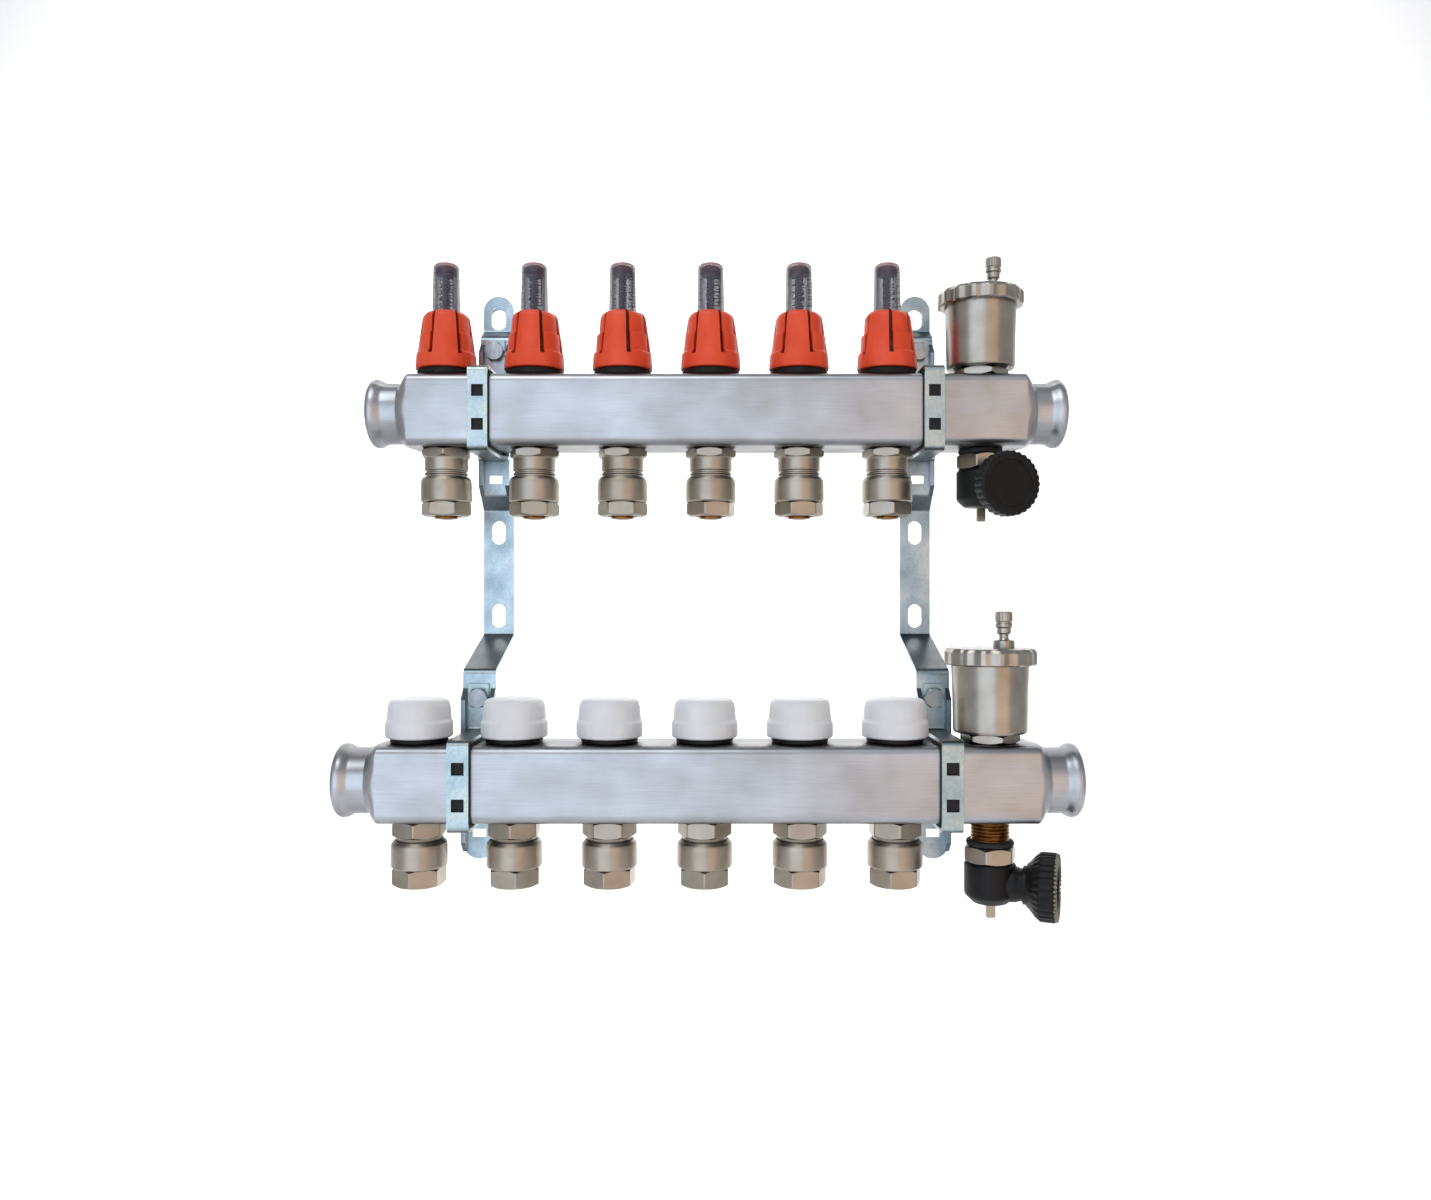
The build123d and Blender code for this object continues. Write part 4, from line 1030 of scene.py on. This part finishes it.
def hose_cap(drop, azimuth):
    """Ribbed cap on the hose spigot, flared from a narrow neck, its face recessed."""
    branch = -HALF_BAR - drop - BRANCH_DEPTH
    corners = [(10.1, 19.0, 0), (11.3, 19.0, 0.3), (11.8, 20.0, 0.5), (15.4, 23.0, 1.5), (17.4, 25.4, 1.0),
               (17.8, 26.4, 0.5), (17.8, 33.2, 0.8), (16.6, 34.0, 0.5), (13.2, 34.0, 0.4), (12.5, 32.6, 0.3),
               (0, 32.6, 0)]
    profile = rounded(corners, 3) + [(0, 31.3), (10.1, 31.3)]

    def skin(a, r, z, row):
        if r < 14.5:
            return r, z
        wave = (0.5 + 0.5 * math.cos(a * 30)) ** 2
        return r - 0.7 * wave * min(1.0, (r - 14.5) / 2.0), z

    bm = bmesh.new()
    lathe(bm, profile, around(240), skin, closed=True, place=outward(branch, azimuth))
    return bm


def pale_knurl(drop, azimuth):
    """Ring of small grey-beige teeth on the face edge of the lower hose cap, paler than the cap."""
    tooth = bmesh.new()
    bmesh.ops.create_cube(tooth, size=1.0, matrix=Matrix.Translation((0, 0, 33.9))
                          @ Matrix.Diagonal((4.2, 1.3, 1.8, 1)))
    bmesh.ops.bevel(tooth, geom=tooth.edges, offset=0.25, segments=2, affect="EDGES")
    bm = bmesh.new()
    bm.from_mesh(ribs(tooth, 48, 15.2))
    bmesh.ops.transform(bm, matrix=outward(-HALF_BAR - drop - BRANCH_DEPTH, azimuth), verts=bm.verts)
    return bm


def key_spindle(drop):
    """Plated spindle with the square that a key turns, its end bevelled."""
    bm = bmesh.new()
    low = -HALF_BAR - drop - 33.0
    stem = [(0, low - 0.4, 0), (3.0, low - 0.4, 0), (3.0, low + 19, 0.4), (0, low + 19, 0)]
    lathe(bm, rounded(stem, 2), around(32), closed=False)
    square = bmesh.ops.create_cube(bm, size=1.0, matrix=Matrix.Translation((0, 0, low - 4.15))
                                   @ Matrix.Diagonal((5.0, 5.0, 7.7, 1)))
    edges = {e for v in square["verts"] for e in v.link_edges}
    bmesh.ops.bevel(bm, geom=list(edges), offset=0.45, segments=2, affect="EDGES")
    return bm


for bar, (x, y, z) in VENTS.items():
    drop, azimuth = DRAINS[bar]
    at = Matrix.Translation((x, y, z))
    finish_piece(f"{bar}_drain_metal", drain_metal(drop), SILVER_NICKEL, "manifold", "nickel", bevel=0.12, place=at)
    finish_piece(f"{bar}_drain_thread", drain_thread(drop), BRASS, "manifold", "brass", place=at)
    finish_piece(f"{bar}_rubber_ring", rubber_ring(drop), RUBBER, "manifold", "rubber", place=at)
    finish_piece(f"{bar}_swivel_elbow", swivel(drop, azimuth), BLACK, f"{bar}_drain_swivel", "black_plastic",
                 (f"{bar}_drain_swivel",), place=at)
    finish_piece(f"{bar}_hose_cap", hose_cap(drop, azimuth), BLACK, f"{bar}_drain_cap", "black_plastic",
                 (f"{bar}_drain_cap",), place=at)
    finish_piece(f"{bar}_key_spindle", key_spindle(drop), SILVER_NICKEL, f"{bar}_drain_spindle", "nickel",
                 (f"{bar}_drain_spindle",), place=at)
finish_piece("return_hose_cap_knurl", pale_knurl(*DRAINS["return"]), PALE_GREY, "return_drain_cap", "black_plastic",
             place=Matrix.Translation(VENTS["return"]))
for name in ("supply_drain_metal", "return_drain_metal"):
    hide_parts("drain_bodies")
for name in ("supply_rubber_ring", "return_rubber_ring"):
    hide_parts("drain_seals")

# Finishes of the frame's own nodes

for name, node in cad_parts.items():
    for slot in node.material_slots:
        key = slot.material.name.split(".")[0] if slot.material else ""
        slot.material = NODE_FINISH.get(name) or FINISHES.get(key, ZINC)

# Stage, light and camera


def stage_sweep():
    """Pale floor that curves up into a plain backdrop well behind the object."""
    bm = bmesh.new()
    floor, near, far, rise, bend, half_width = -900.0, -2200.0, 2200.0, 1900.0, 800.0, 6000.0
    line = [(near, floor), (far - bend, floor)]
    line += [(far - bend + bend * math.sin(a), floor + bend - bend * math.cos(a))
             for a in [math.pi / 2 * k / 16 for k in range(1, 17)]]
    line.append((far, rise))
    rows = [[bm.verts.new((x, y, z)) for x in (-half_width, half_width)] for y, z in line]
    for one, two in zip(rows, rows[1:]):
        bm.faces.new((one[0], one[1], two[1], two[0]))
    bmesh.ops.transform(bm, matrix=Matrix.Scale(MM, 4), verts=bm.verts)
    mesh = bpy.data.meshes.new("studio_floor")
    bm.to_mesh(mesh)
    bm.free()
    material, tree, coat = surface("matt_white_floor", Roughness=0.9)
    paper = noise(tree, stretched(tree), 4.0, 2.0)
    tree.links.new(ramp(tree, paper, [(0.3, "#F5F5F5"), (0.7, "#F7F7F7")]), coat.inputs["Base Color"])
    mesh.materials.append(material)
    for face in mesh.polygons:
        face.use_smooth = True
    floor_piece = bpy.data.objects.new("studio_floor", mesh)
    bpy.context.scene.collection.objects.link(floor_piece)


def soft_light(name, place, aim, size, power, tint="#FFFFFF"):
    """Rectangular soft box at a place, aimed at a point; all in metres."""
    lamp = bpy.data.lights.new(name, "AREA")
    lamp.shape = "RECTANGLE"
    lamp.size, lamp.size_y = size
    lamp.energy = power
    lamp.color = hue(tint)[:3]
    holder = bpy.data.objects.new(name, lamp)
    holder.location = place
    holder.rotation_mode = "QUATERNION"
    holder.rotation_quaternion = (Vector(aim) - Vector(place)).to_track_quat("-Z", "Y")
    bpy.context.scene.collection.objects.link(holder)


stage_sweep()
world = bpy.data.worlds.new("plain_studio")
world.use_nodes = True
world.node_tree.nodes.clear()
sky = add(world.node_tree, "ShaderNodeBackground", None, Color=hue("#F3F5F8"), Strength=0.42)
add(world.node_tree, "ShaderNodeOutputWorld", Surface=sky.outputs[0])
bpy.context.scene.world = world
soft_light("cool_front_box", (-0.75, -2.1, 0.05), (0, 0, 0), (2.2, 2.0), 16, "#E2EEFF")
soft_light("warm_front_box", (1.1, -2.0, 0.0), (0.1, 0, 0), (1.5, 2.0), 6.5, "#FFCB9A")
soft_light("top_box", (-0.4, -1.0, 1.7), (0, 0, 0), (1.2, 0.9), 11, "#F6F9FF")
soft_light("wall_wash", (0.0, 0.9, 1.7), (0, 2.4, 0.2), (3.0, 0.7), 44)
soft_light("floor_wash", (0.0, 1.0, 0.9), (0, 2.0, -0.9), (3.0, 0.7), 30)

view = bpy.context.scene.view_settings
view.view_transform = "Standard"
view.look = "None"

lens = bpy.data.cameras.new("photo_camera")
lens.sensor_width = 36.0
lens.lens = 27.15
lens.clip_start, lens.clip_end = 0.05, 20
camera = bpy.data.objects.new("photo_camera", lens)
camera.location = (5.2 * MM, -651.0 * MM, -5.4 * MM)
camera.rotation_euler = (math.pi / 2, 0, 0)
bpy.context.scene.collection.objects.link(camera)
bpy.context.scene.camera = camera
